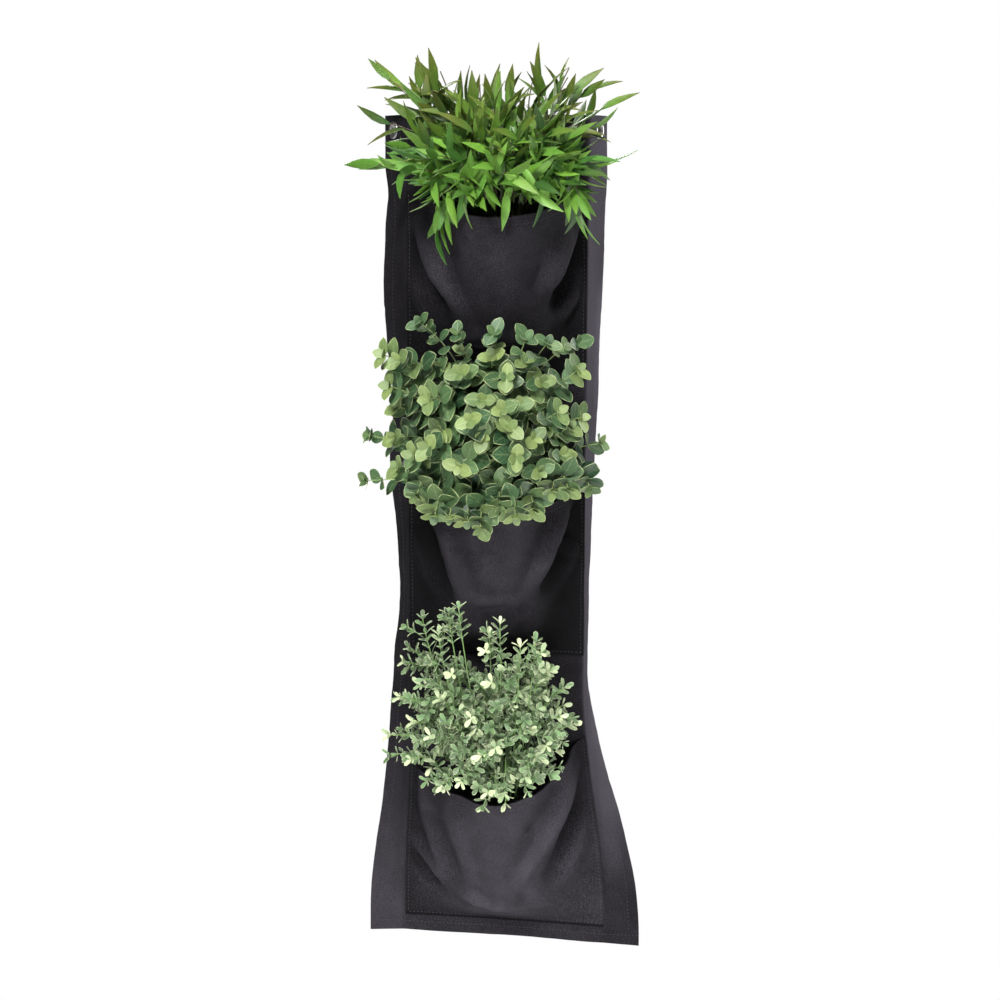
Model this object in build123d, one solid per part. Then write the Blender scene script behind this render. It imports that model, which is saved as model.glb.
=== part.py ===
from build123d import *
import math
import os
from dataclasses import dataclass
from functools import lru_cache

import numpy as np

# Hanging cloth planter with three sewn pockets, two eyelets and three potted plants.
# Millimetres, +Z up, +X to the right as seen from the front, and the front faces -Y.
# The origin is midway between the two eyelets.

# Cloth panel
cloth = 1.0  # thickness of the coated cloth
seat = 0.2  # air between two layers of cloth
panel_height = 890.0
side_margin = 37.5  # free margin outside each side seam
span_drawn = 190.0  # seam to seam where the pots draw the panel in
span_flat = 222.0  # seam to seam at the bottom edge, where the panel lies flat
flare_start = 600.0  # below the top edge, where the panel starts to open out
bottom_sway = 8.0  # sideways drift of the bottom edge
bottom_tilt = 0.045  # slope of the bottom edge, lower on the right
sag_between = 8.0  # how far the panel bellies back between the pockets
sag_behind_pot = 20.0  # and behind each pot
turn_top = 58.0  # degrees that both margins turn back at the top edge
turn_waist_right = 82.0  # at the start of the flare
turn_waist_left = 66.0
turn_wave = 9.0  # the left margin opens and closes with the pockets
curl_left = 6.0  # degrees that the bottom corners turn forward
curl_right = 8.0
corner_forward = 18.0  # the right seam comes forward at the bottom edge
flat_top = 45.0  # the margins keep one angle over this height at the top
head_height = 25.0  # strip of the panel along its top edge that carries the eyelets
foot_height = 275.0  # lower stretch of the panel, which opens out
panel_steps = 20  # stretches of straight cloth down the panel

# Hems
hem_width = 14.0
top_hem_width = 30.0
mouth_hem_width = 12.0

# Eyelets
eyelet_drop = 15.0  # below the top edge
eyelet_inset = 20.0  # outside the side seam
eyelet_bore = 5.0  # radius
eyelet_barrel = 6.0  # outer radius
eyelet_flange = 9.0  # outer radius
eyelet_roll = 7.4  # outer radius of the rolled end
eyelet_sheet = 0.8  # thickness of the washer and of the roll
eyelet_dome = 0.7  # height of the flange's crown
barrel_room = 0.15  # between the barrel and the cloth or washer around it

# Pockets
pocket_count = 3
pocket_pitch = 300.0
pocket_height = 190.0  # length of a side seam
bottom_margin = 25.0  # below the lowest seam
seam_flange = 6.0  # cloth sewn flat on the panel around a pocket
edge_inset = 1.5  # from the side seam to the pocket's own edge
mouth_sag = 26.0  # the middle of the mouth hangs below its corners
mouth_ease = 4.0  # the mouth stands off the pot's line by this much
fold_valley = 4.0  # depth of the swag fold beside the seam
fold_ridge = 3.5  # height of the ridge beside the pot
belly = 0.75  # how fast the pocket opens out above its bottom seam, 1 is a straight slope

# Pots
pot_height = 90.0
pot_rim = 50.0  # outer radius of the lip
pot_body = 47.0  # outer radius under the lip
pot_base = 35.0
pot_lip = 8.0  # height of the lip
pot_wall = 1.6
pot_tilt = 6.0  # degrees that a pot leans forward
pot_stand = 38.0  # the base stands above the bottom seam
pot_room = 0.7  # between the lip and the pocket
pot_back_room = 0.5  # between the lip and the panel
drain_count = 5
drain_radius = 4.0
drain_circle = 20.0
fill_drop = 10.0  # the fill lies below the rim
fill_room = 0.3
lift_angle = 12.0  # degrees forward of straight up along which a pot comes out
lift_travel = 140.0

# Plants
stem = 2.2  # side of a stem's square section
stem_steps = 5
leaf_thickness = 0.8
leaf_room = 0.6  # least air between two sprigs
cloth_room = 3.0  # least air between leaves and cloth

seam_strip = edge_inset + seam_flange  # flat strip of the panel along each side seam
top_edge = eyelet_drop
seam_y = -eyelet_inset * math.sin(math.radians(turn_top))
lift_way = np.array([0.0, -math.sin(math.radians(lift_angle)), math.cos(math.radians(lift_angle))])
pot_axis = np.array([0.0, -math.sin(math.radians(pot_tilt)), math.cos(math.radians(pot_tilt))])


def smooth(t):
    """Step from 0 to 1 with level ends."""
    t = np.clip(t, 0.0, 1.0)
    return t * t * (3.0 - 2.0 * t)


def seam_height(pocket):
    """Height of a pocket's bottom seam, 0 being the upper pocket."""
    steps_up = pocket_count - 1 - pocket
    return top_edge - panel_height + bottom_margin + steps_up * pocket_pitch


@dataclass
class Hang:
    """How the panel hangs at one height: its seams, belly and turned margins."""

    left_x: float
    left_y: float
    right_x: float
    right_y: float
    sag: float
    turn_left: float
    turn_right: float

    def y(self, x):
        """The panel's middle surface between the seams."""
        middle = (self.left_x + self.right_x) / 2
        reach = (self.right_x - self.left_x) / 2 - seam_strip
        radius = (reach**2 + self.sag**2) / (2 * self.sag)
        level = self.left_y + (x - self.left_x) / (self.right_x - self.left_x) * (self.right_y - self.left_y)
        off = np.minimum(np.abs(x - middle), reach)
        return level + np.sqrt(radius**2 - off**2) - (radius - self.sag)


def drape(z):
    """The panel's shape at a height."""
    down = top_edge - z
    flare = smooth((down - flare_start) / (panel_height - flare_start - bottom_margin))
    half = (span_drawn + (span_flat - span_drawn) * flare) / 2
    sway = bottom_sway * flare
    waist = smooth((down - flat_top) / (flare_start - flat_top))
    phase = 2 * np.pi * (z - seam_height(0) - pot_stand - pot_height / 2) / pocket_pitch
    bump = (1 + np.cos(phase)) / 2
    flatten = 0.8 * smooth((down - panel_height + bottom_margin + pot_stand) / pot_stand)
    sag = (sag_between + (sag_behind_pot - sag_between) * bump) * (1 - flatten)
    wave = turn_wave * np.cos(phase) * smooth((down - flat_top) / flat_top)
    free = np.clip((down - flare_start) / (panel_height - flare_start), 0, 1)
    left = (turn_top + (turn_waist_left - turn_top) * waist + wave) * (1 - free**1.6) - curl_left * flare
    right = (turn_top + (turn_waist_right - turn_top) * waist) * (1 - free**1.2) ** 0.8 - curl_right * flare**2
    return sway - half, seam_y, sway + half, seam_y - corner_forward * flare, sag, left, right


panel_heights = np.linspace(top_edge - panel_height, top_edge, panel_steps + 1)
panel_drapes = np.array([drape(z) for z in panel_heights]).T


def hang(z):
    """The panel's shape at one height or at many, straight between its stations."""
    return Hang(*[np.interp(z, panel_heights, values) for values in panel_drapes])


def stations(low, high, more=()):
    """Heights from low to high: both ends, the panel's own stations between them and some more."""
    between = [z for z in (*panel_heights, *more) if low + 1 < z < high - 1]
    return sorted({low, high, *[round(float(z), 6) for z in between]})


def unit(p):
    """Direction of a plane vector held as a complex number."""
    return p / abs(p)


def arc_directions(a, m, b):
    """Directions of travel at the start, middle and end of the arc through three points."""
    u, v = m - a, b - a
    cross = (u.conjugate() * v).imag
    if abs(cross) < 1e-9:
        return unit(v), unit(v), unit(v)
    centre = a + 1j * (v * abs(u) ** 2 - u * abs(v) ** 2) / (-2 * cross)
    turn = 1j if (unit(a - centre) * 1j * (m - a).conjugate()).real > 0 else -1j
    return tuple(unit(p - centre) * turn for p in (a, m, b))


def offset_path(path, distance):
    """Path of lines and arcs moved sideways, positive to the left of travel, with mitred corners."""
    ways = [arc_directions(*leg) if len(leg) == 3 else (unit(leg[1] - leg[0]),) * 3 for leg in path]
    corners = []
    for i in range(len(path) + 1):
        before = ways[max(i - 1, 0)][2] if i else ways[0][0]
        after = ways[i][0] if i < len(path) else ways[-1][2]
        point = path[i][0] if i < len(path) else path[-1][-1]
        bisector = 1j * (before + after)
        corners.append(point + distance * bisector * 2 / abs(bisector) ** 2)
    moved = []
    for i, leg in enumerate(path):
        middle = [leg[1] + distance * 1j * ways[i][1]] if len(leg) == 3 else []
        moved.append([corners[i], *middle, corners[i + 1]])
    return moved


def lifted(p, z):
    """Point of a section at height z; sections slope with the bottom edge."""
    flare = float(smooth((top_edge - z - flare_start) / (panel_height - flare_start)))
    return Vector(p.real, p.imag, z - bottom_tilt * flare * p.real)


def edges(path, z):
    """Edges of a path of lines and arcs at one height."""
    made = []
    for leg in path:
        points = [lifted(p, z) for p in leg]
        made.append(Edge.make_three_point_arc(*points) if len(points) == 3 else Edge.make_line(*points))
    return made


def section(path, z, near, far):
    """Closed outline of a layer of cloth lying from near to far behind a path."""
    front = offset_path(path, near)
    back = [leg[::-1] for leg in reversed(offset_path(path, far))]
    caps = [[front[-1][-1], back[0][0]]], [[back[-1][-1], front[0][0]]]
    return Wire(edges(front, z) + edges(caps[0], z) + edges(back, z) + edges(caps[1], z))


def layer(path_at, heights, near, far):
    """Layer of cloth lofted through its outlines at the given heights."""
    return Solid.make_loft([section(path_at(float(z)), float(z), near, far) for z in heights], ruled=True)


def panel_path(z):
    """Margin, seam strip, belly, seam strip and margin of the panel, from left to right."""
    h = hang(z)
    left = complex(h.left_x, h.left_y)
    right = complex(h.right_x, h.right_y)
    inner_left = complex(h.left_x + seam_strip, float(h.y(h.left_x + seam_strip)))
    inner_right = complex(h.right_x - seam_strip, float(h.y(h.right_x - seam_strip)))
    middle = (h.left_x + h.right_x) / 2
    left_end = left - side_margin * np.exp(-1j * math.radians(h.turn_left))
    right_end = right + side_margin * np.exp(1j * math.radians(h.turn_right))
    belly_arc = [inner_left, complex(middle, float(h.y(middle))), inner_right]
    return [[left_end, left], [left, inner_left], belly_arc, [inner_right, right], [right, right_end]]


def side_hem_path(z, side):
    """The outer stretch of one margin, which a side hem lies behind."""
    leg = panel_path(z)[0 if side < 0 else -1]
    outer, seam = (leg[0], leg[1]) if side < 0 else (leg[1], leg[0])
    inner = outer + hem_width * unit(seam - outer)
    return [[outer, inner]] if side < 0 else [[inner, outer]]


def pot_outline():
    """Points up a pot's outer wall as distance along its axis and off it."""
    shoulder = pot_height - pot_lip
    return [(0, pot_base), (shoulder, pot_body), (shoulder, pot_rim), (pot_height, pot_rim)]


@lru_cache
def pot_base_centre(pocket):
    """Where the middle of a pot's base stands, with its back just clear of the panel."""
    base_z = seam_height(pocket) + pot_stand
    middle = float(np.mean([hang(base_z).left_x, hang(base_z).right_x]))
    limits = []
    for along, off in pot_outline():
        behind_axis = along * pot_axis[1] + off * pot_axis[2]
        z = base_z + along * pot_axis[2] - off * pot_axis[1]
        limits.append(float(hang(z).y(middle)) - behind_axis)
    return np.array([middle, min(limits) - cloth / 2 - pot_back_room, base_z])


def pot_line(pocket, z):
    """Middle and radius of the round line that the pocket follows at a height."""
    base = pot_base_centre(pocket)
    shoulder = pot_height - pot_lip
    low_y, low_z = -pot_base * pot_axis[2], pot_base * pot_axis[1]
    high_y = shoulder * pot_axis[1] - pot_rim * pot_axis[2]
    high_z = shoulder * pot_axis[2] + pot_rim * pot_axis[1]
    along = np.maximum((z - base[2] - low_z) / (high_z - low_z), 0)
    radius = pot_base + (pot_rim - pot_base) * np.minimum(along, 1)
    front = base[1] + low_y + (high_y - low_y) * along
    ease = mouth_ease * smooth((z - base[2] - pot_height) / (pocket_height - pot_stand - pot_height))
    return base[0], front + radius, radius + pot_room + ease


def opened(pocket, z):
    """How far a pocket has opened out: 0 on its bottom seam, 1 from the pot's base up."""
    full = pot_stand + pot_base * pot_axis[1] - pot_room
    return np.clip((z - seam_height(pocket)) / full, 0, 1) ** belly


def pocket_path(pocket, z):
    """Front of a pocket from seam to seam, with a swag fold on each side."""
    h = hang(z)
    x, y, radius = (float(v) for v in pot_line(pocket, z))
    centre, reach = complex(x, y), radius + cloth / 2
    open_by = float(opened(pocket, z))
    rise = (z - seam_height(pocket)) / pocket_height
    fold_at = 0.66 - 0.3 * min(max(rise, 0), 1)

    def on_panel(at):
        return complex(at, float(h.y(at)) - cloth - seat)

    def settle(p):
        rest = on_panel(p.real)
        return rest + 1j * open_by * (p.imag - rest.imag)

    sides = []
    for side in (-1, 1):
        edge = h.left_x + edge_inset if side < 0 else h.right_x - edge_inset
        foot = on_panel(edge - side * seam_flange)
        to_pot = centre - foot
        run = math.sqrt(abs(to_pot) ** 2 - reach**2)
        touch = foot + run * unit(to_pot) * np.exp(1j * side * math.asin(reach / abs(to_pot)))
        inward = unit(touch - foot) * (-1j * side)
        bend = foot + fold_at * (touch - foot)
        valley = foot + fold_at / 2 * (touch - foot) + fold_valley * inward
        ridge = bend + (touch - bend) / 2 - fold_ridge * inward
        sides.append([on_panel(edge), foot] + [settle(p) for p in (valley, bend, ridge, touch)])
    a, b = sides
    front = settle(centre - 1j * reach)
    left = [[a[0], a[1]], [a[1], a[2], a[3]], [a[3], a[4], a[5]]]
    right = [[b[5], b[4], b[3]], [b[3], b[2], b[1]], [b[1], b[0]]]
    return left + [[a[5], front, b[5]]] + right


def mouth_cut(pocket, below):
    """Everything above a line that hangs with the mouth, so far below its edge."""
    h = hang(seam_height(pocket) + pocket_height)
    corner = seam_height(pocket) + pocket_height - below
    high = corner + 80
    middle = (h.left_x + h.right_x) / 2
    line = ThreePointArc((h.left_x, corner), (middle, corner - mouth_sag), (h.right_x, corner))
    rest = Polyline((h.right_x, corner), (h.right_x + 9, corner), (h.right_x + 9, high), (h.left_x - 9, high),
                    (h.left_x - 9, corner), (h.left_x, corner))
    return extrude(Plane.XZ * make_face(line + rest), amount=400, both=True)


def pocket_front(pocket):
    """Sewn pocket front with its flat seam allowance and hanging mouth."""
    seam = seam_height(pocket)
    full = pot_stand + pot_base * pot_axis[1] - pot_room
    shoulder = seam + pot_stand + pot_height - pot_lip
    key_heights = (seam, seam + 0.25 * full, seam + 0.6 * full, seam + full, shoulder)
    heights = stations(seam - seam_flange, seam + pocket_height + 1, key_heights)
    body = layer(lambda z: pocket_path(pocket, z), heights, -cloth / 2, cloth / 2)
    return body - mouth_cut(pocket, 0)


def mouth_hem(pocket):
    """Band turned to the inside along a pocket's mouth."""
    top = seam_height(pocket) + pocket_height
    shoulder = seam_height(pocket) + pot_stand + pot_height - pot_lip
    heights = stations(shoulder, top + 1)
    inside = cloth / 2 + seat

    def path(z):
        return pocket_path(pocket, z)[2:-2]

    band = layer(path, heights, inside, inside + cloth)
    return band & mouth_cut(pocket, mouth_hem_width) - mouth_cut(pocket, 0)


def eyelet_plane(side):
    """Plane in the middle of the cloth at an eyelet, facing out of the front."""
    z = top_edge - eyelet_drop
    h = hang(z)
    turn = math.radians(h.turn_right if side > 0 else h.turn_left)
    seam_x = h.right_x if side > 0 else h.left_x
    along = (side * math.cos(turn), math.sin(turn), 0)
    out = (side * math.sin(turn), -math.cos(turn), 0)
    origin = (seam_x + eyelet_inset * along[0], seam_y + eyelet_inset * along[1], z)
    return Plane(origin=origin, x_dir=(0, 0, 1), z_dir=out)


def eyelet():
    """Flanged barrel with a rolled end, its axis along Z through two layers of cloth."""
    face = cloth / 2 + seat
    back = -cloth / 2 - 2 * seat - cloth
    roll = back - eyelet_sheet - seat / 2
    end = roll - eyelet_sheet
    crown = ThreePointArc(
        (eyelet_bore, face + eyelet_dome / 2),
        ((eyelet_bore + eyelet_flange) / 2, face + 2 * eyelet_dome),
        (eyelet_flange, face + eyelet_dome / 2),
    )
    rest = Polyline(
        (eyelet_flange, face + eyelet_dome / 2),
        (eyelet_flange, face),
        (eyelet_barrel, face),
        (eyelet_barrel, roll),
        (eyelet_roll, roll),
        (eyelet_roll, end),
        (eyelet_bore, end),
        (eyelet_bore, face + eyelet_dome / 2),
    )
    return revolve(Plane.XZ * make_face(crown + rest), Axis.Z)


def eyelet_washer():
    """Flat ring that the eyelet's roll clamps against the hem."""
    back = -cloth / 2 - 2 * seat - cloth
    ring = Circle(eyelet_flange) - Circle(eyelet_barrel + barrel_room)
    return Pos(0, 0, back - eyelet_sheet) * extrude(ring, amount=eyelet_sheet)


def pot():
    """Tapered pot with a lip and drain holes, its base on Z = 0."""
    shoulder = pot_height - pot_lip
    inner_base = pot_base - pot_wall
    inner_top = pot_body - pot_wall
    outline = Polyline(
        (0, 0),
        (pot_base, 0),
        (pot_body, shoulder),
        (pot_rim, shoulder),
        (pot_rim, pot_height),
        (inner_top, pot_height),
        (inner_top, shoulder),
        (inner_base, pot_wall),
        (0, pot_wall),
        close=True,
    )
    body = revolve(Plane.XZ * make_face(outline), Axis.Z)
    drains = PolarLocations(drain_circle, drain_count) * Cylinder(drain_radius, 3 * pot_wall)
    return body - drains


def fill():
    """Plug inside a pot that the stems stand on."""
    top = pot_height - fill_drop
    slope = (pot_body - pot_base) / (pot_height - pot_lip - pot_wall)
    low = pot_base - pot_wall - fill_room
    outline = Polyline((0, pot_wall), (low, pot_wall), (low + slope * (top - pot_wall), top), (0, top), close=True)
    return revolve(Plane.XZ * make_face(outline), Axis.Z)


def pot_place(pocket):
    """Where a pot stands, leaning forward with its pocket."""
    return Location(Plane(origin=tuple(pot_base_centre(pocket)), x_dir=(1, 0, 0), z_dir=tuple(pot_axis)))


@dataclass(frozen=True)
class Leaf:
    """Flat leaf: its size, where it is widest and how round its outline is."""

    length: float
    width: float
    widest: float
    roundness: float
    steps: int

    def half_width(self, t):
        """Half of the width at a fraction of the length."""
        skew = math.log(0.5) / math.log(self.widest)
        return self.width / 2 * np.sin(np.pi * np.clip(t, 0, 1) ** skew) ** self.roundness

    def outline(self):
        """Points around the leaf from its foot."""
        ts = [k / (self.steps + 1) for k in range(1, self.steps + 1)]
        upper = [(self.length * t, float(self.half_width(t))) for t in ts]
        return [(0, 0), *upper, (self.length, 0), *[(x, -y) for x, y in reversed(upper)]]

    def samples(self):
        """Points spread over the leaf and the distance that each of them covers."""
        columns = max(2, round(self.length / 8))
        xs = (np.arange(columns) + 0.5) * self.length / columns
        ys = np.array([-0.25, 0.25]) * self.width
        cover = math.hypot(self.length / columns / 2, self.width / 4) + leaf_thickness / 2
        return np.array([(x, y, 0) for x in xs for y in ys]), cover


@dataclass(frozen=True)
class Plant:
    """One plant: its pocket, its crown and the way its leaves sit on a sprig."""

    name: str
    pocket: int
    crown: tuple  # middle of the crown from the middle of the rim
    radii: tuple
    sprigs: int
    leaf: Leaf
    pairs: int  # leaf places along a sprig
    per_place: int
    splay: float  # degrees between a leaf and its stem
    bare: float  # share of a stem without leaves
    shrink: float  # size of the last leaf against the first


def bezier(a, b, c, t):
    """Point on the curve from a to c that is drawn towards b."""
    return (1 - t) ** 2 * a + 2 * t * (1 - t) * b + t**2 * c


def front_of(pocket, x, z):
    """Front face of a pocket where it lies, and a far value elsewhere."""
    h = hang(z)
    px, py, radius = pot_line(pocket, z)
    reach = radius + cloth
    off = np.abs(x - px)
    round_y = py - np.sqrt(np.maximum(reach**2 - np.minimum(off, reach * 0.72) ** 2, 0))
    half = (h.right_x - h.left_x) / 2 - seam_flange
    shoulder = reach * 0.72
    slope = (off - shoulder) / (half - shoulder)
    side_y = round_y + (seam_y - round_y) * np.clip(slope, 0, 1)
    outer = np.where(off < shoulder, round_y, side_y) - fold_ridge
    seam = seam_height(pocket)
    y = seam_y + (outer - seam_y) * opened(pocket, z)
    mouth = seam + pocket_height - mouth_sag * np.clip(1 - (off / half) ** 2, 0, 1)
    inside = (z > seam - seam_flange - cloth_room) & (z < mouth + cloth_room) & (off < half + seam_flange)
    return np.where(inside, y, 1e3), mouth


def free_of_cloth(points, pocket):
    """Whether points of a plant keep clear of all cloth on the plant's way out."""
    for step in np.linspace(0, lift_travel, 8):
        p = points + step * lift_way
        x, y, z = p.T
        h = hang(z)
        on_panel = (x > h.left_x - 4) & (x < h.right_x + 4) & (z < top_edge + 4)
        if np.any(on_panel & (y > h.y(x) - cloth_room)) or np.any(y > seam_y + 8):
            return False
        for other in range(pocket_count):
            front, mouth = front_of(other, x, z)
            hit = y > front - cloth_room
            if other == pocket:
                px, py, radius = pot_line(other, z)
                base = pot_base_centre(pocket)[2]
                within = np.hypot(x - px, y - py) < pot_rim - 6
                hit &= ~(within & (z > base))
            if np.any(hit):
                return False
    return True


def far_enough(points, cover, placed, shifts):
    """Whether points keep off all points placed before, at each shift."""
    if not len(placed):
        return True
    for shift in shifts:
        gap = np.linalg.norm((points + shift)[:, None, :] - placed[None, :, :3], axis=2)
        if np.any(gap < cover + placed[None, :, 3] + leaf_room):
            return False
    return True


def crown_tips(plant, dice):
    """Places for the tips of sprigs, spread evenly over two shells of the crown."""
    rim = pot_base_centre(plant.pocket) + pot_height * pot_axis
    for scale in (1.0, 0.6):
        count = 3 * plant.sprigs
        for k in np.argsort([(k * 0.618) % 1 for k in range(count)]):
            up = 1 - 2 * (k + 0.5) / count
            around = k * math.pi * (3 - math.sqrt(5)) + dice.uniform(-0.2, 0.2)
            flat = math.sqrt(1 - up * up)
            way = np.array([flat * math.cos(around), flat * math.sin(around), up])
            yield rim + np.array(plant.crown) + scale * np.array(plant.radii) * way


def stem_curve(plant, tip, bow, spread):
    """Points along a stem from the fill to a tip, and the plane that it lies in."""
    centre = pot_base_centre(plant.pocket) + (pot_height - fill_drop) * pot_axis
    across = np.array([1.0, 0.0, 0.0])
    ahead = np.cross(pot_axis, across)
    off = np.array([np.dot(tip - centre, across), np.dot(tip - centre, ahead)])
    foot = off * min(1, 0.62 * pot_base / np.linalg.norm(off)) * spread
    start = centre + foot[0] * across + foot[1] * ahead
    knee = start + pot_axis * bow * np.linalg.norm(tip - start)
    normal = np.cross(pot_axis, tip - start) + 1e-6 * across
    normal /= np.linalg.norm(normal)
    return [bezier(start, knee, tip, k / stem_steps) for k in range(stem_steps + 1)], normal, knee


def stem_solid(points, normal):
    """Stem of square section along a bent line that lies in one plane."""
    points = np.array(points)
    ways = np.diff(points, axis=0)
    ways = np.vstack([pot_axis, ways[:-1] + ways[1:], ways[-1]])
    sides = np.cross(normal, ways)
    sides *= stem / 2 / np.linalg.norm(sides, axis=1)[:, None]
    ring = [*(points + sides), *(points - sides)[::-1]]
    face = Face(Wire.make_polygon([Vector(*p) for p in ring], close=True))
    return Solid.extrude(face.moved(Location(tuple(-normal * stem / 2))), Vector(*(normal * stem)))


def leaf_solid(leaf, size, foot, way, up):
    """Leaf plate with its foot on a stem."""
    side = np.cross(up, way)
    up = np.cross(way, side)
    plane = Plane(origin=tuple(foot), x_dir=tuple(way), z_dir=tuple(up / np.linalg.norm(up)))
    points = [(x * size, y * size) for x, y in leaf.outline()]
    face = Face(Wire.make_polygon([Vector(x, y, -leaf_thickness / 2) for x, y in points], close=True))
    return Solid.extrude(face, Vector(0, 0, leaf_thickness)).moved(Location(plane))


def leaf_points(leaf, size, foot, way, up):
    """The leaf's sample points in place, and the distance that each covers."""
    samples, cover = leaf.samples()
    side = np.cross(up, way)
    side /= np.linalg.norm(side)
    return foot + size * (samples[:, :1] * way + samples[:, 1:2] * side), size * cover


def sprig_leaves(plant, points, knee, dice):
    """Places for a sprig's leaves: foot, direction, upper side and size, from the tip down."""
    a, c = points[0], points[-1]
    for place in reversed(range(plant.pairs)):
        share = plant.bare + (1 - plant.bare) * (place + 0.6) / plant.pairs
        foot = bezier(a, knee, c, min(share, 0.985))
        along = bezier(a, knee, c, min(share + 0.02, 1.0)) - bezier(a, knee, c, min(share, 0.98))
        along /= np.linalg.norm(along)
        level = np.cross(along, [0.31, 0.27, 0.91])
        level /= np.linalg.norm(level)
        other = np.cross(along, level)
        size = 1 + (plant.shrink - 1) * place / max(plant.pairs - 1, 1)
        for k in range(plant.per_place):
            roll = 2 * math.pi * k / plant.per_place + place * math.pi / 2 + dice.uniform(-0.4, 0.4)
            options = []
            for turn in (0.0, 0.5, -0.5, 1.1, -1.1):
                out = math.cos(roll + turn) * level + math.sin(roll + turn) * other
                splay = math.radians(plant.splay + dice.uniform(-10, 10))
                way = math.cos(splay) * along + math.sin(splay) * out
                up = math.cos(splay) * out - math.sin(splay) * along
                options.append((foot, way, -up, size * dice.uniform(0.88, 1.08)))
            yield options


def grow(plant, others):
    """Sprigs of one plant, each one solid, and their sample points."""
    dice = np.random.default_rng(11 + plant.pocket)
    shifts = [step * lift_way for step in np.linspace(-lift_travel, lift_travel, 15)]
    own = np.zeros((0, 4))
    sprigs = []
    for tip in crown_tips(plant, dice):
        for bow, spread in ((0.55, 1.0), (0.7, 0.7), (0.8, 1.25), (0.45, 0.45), (0.95, 1.1), (0.65, 1.45)):
            points, normal, knee = stem_curve(plant, tip, bow, spread)
            line = np.array([bezier(points[0], knee, tip, t) for t in np.linspace(0.03, 1, 48)])
            stem_cover = 0.9 * stem + 1.2
            clear = free_of_cloth(line, plant.pocket) and far_enough(line, stem_cover, own, [np.zeros(3)])
            if clear and far_enough(line, stem_cover, others, shifts):
                break
        else:
            continue
        if len(sprigs) == plant.sprigs:
            break
        mine = [np.column_stack([line, np.full(len(line), stem_cover)])]
        solids = []
        for options in sprig_leaves(plant, points, knee, dice):
            for foot, way, up, size in options:
                spots, cover = leaf_points(plant.leaf, size, foot, way, up)
                clear = free_of_cloth(spots, plant.pocket) and far_enough(spots, cover, own, [np.zeros(3)])
                if clear and far_enough(spots, cover, others, shifts):
                    solids.append(leaf_solid(plant.leaf, size, foot, way, up))
                    mine.append(np.column_stack([spots, np.full(len(spots), cover)]))
                    break
        own = np.vstack([own, *mine])
        sprigs.append(stem_solid(points, normal).fuse(*solids) if solids else stem_solid(points, normal))
    return sprigs, own


bamboo_leaf = Leaf(length=50, width=12, widest=0.4, roundness=1.0, steps=2)
eucalyptus_leaf = Leaf(length=27, width=22, widest=0.5, roundness=0.6, steps=3)
boxwood_leaf = Leaf(length=15, width=9, widest=0.6, roundness=0.8, steps=2)
plants = [
    Plant("bamboo", 0, (-6, -46, 116), (122, 84, 92), 26, bamboo_leaf, 5, 2, 38, 0.45, 0.8),
    Plant("eucalyptus", 1, (-14, -62, 130), (108, 88, 98), 26, eucalyptus_leaf, 5, 2, 66, 0.5, 0.6),
    Plant("boxwood", 2, (-12, -58, 140), (88, 76, 86), 32, boxwood_leaf, 5, 3, 48, 0.6, 0.9),
]
pocket_names = ["upper", "middle", "lower"]

os.makedirs("parts", exist_ok=True)


def save(name, *solids):
    """Write one node."""
    shape = Compound(children=list(solids)) if len(solids) > 1 else solids[0]
    export_step(shape, f"parts/{name}.step")


eyelet_planes = [eyelet_plane(side) for side in (-1, 1)]
eyelet_holes = [p.location * Cylinder(eyelet_barrel + barrel_room, 12) for p in eyelet_planes]
bottom_edge = top_edge - panel_height
head_end = top_edge - head_height
foot_end = bottom_edge + foot_height
top_hem_end = top_edge - top_hem_width
bottom_hem_end = bottom_edge + hem_width
behind = cloth / 2 + seat

save("back_panel", layer(panel_path, stations(foot_end, head_end - seat), -cloth / 2, cloth / 2))
save("panel_foot", layer(panel_path, stations(bottom_edge, foot_end - seat), -cloth / 2, cloth / 2))
save("panel_head", layer(panel_path, stations(head_end, top_edge), -cloth / 2, cloth / 2) - eyelet_holes)
save("top_hem", layer(panel_path, stations(top_hem_end, top_edge), behind, behind + cloth) - eyelet_holes)
save("bottom_hem", layer(panel_path, stations(bottom_edge, bottom_hem_end), behind, behind + cloth))
side_heights = stations(bottom_hem_end + seat, top_hem_end - seat)
for side, word in ((-1, "left"), (1, "right")):
    save(f"{word}_side_hem", layer(lambda z: side_hem_path(z, side), side_heights, behind, behind + cloth))
save("eyelets", *[p.location * eyelet() for p in eyelet_planes])
save("eyelet_washers", *[p.location * eyelet_washer() for p in eyelet_planes])

for pocket, word in enumerate(pocket_names):
    save(f"{word}_pocket", pocket_front(pocket))
    save(f"{word}_mouth_hem", mouth_hem(pocket))

grown = np.zeros((0, 4))
for plant in plants:
    place = pot_place(plant.pocket)
    save(f"{plant.name}_pot", place * pot())
    save(f"{plant.name}_fill", place * fill())
    sprigs, points = grow(plant, grown)
    grown = np.vstack([grown, points])
    save(f"{plant.name}_sprigs", *sprigs)
    print(plant.name, "sprigs", len(sprigs))

for plane in eyelet_planes:
    print("eyelet", plane.origin, plane.z_dir)
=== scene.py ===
import logging
import math
from dataclasses import dataclass, field
from enum import Enum
from typing import Any, Callable, Iterable, Iterator

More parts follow.
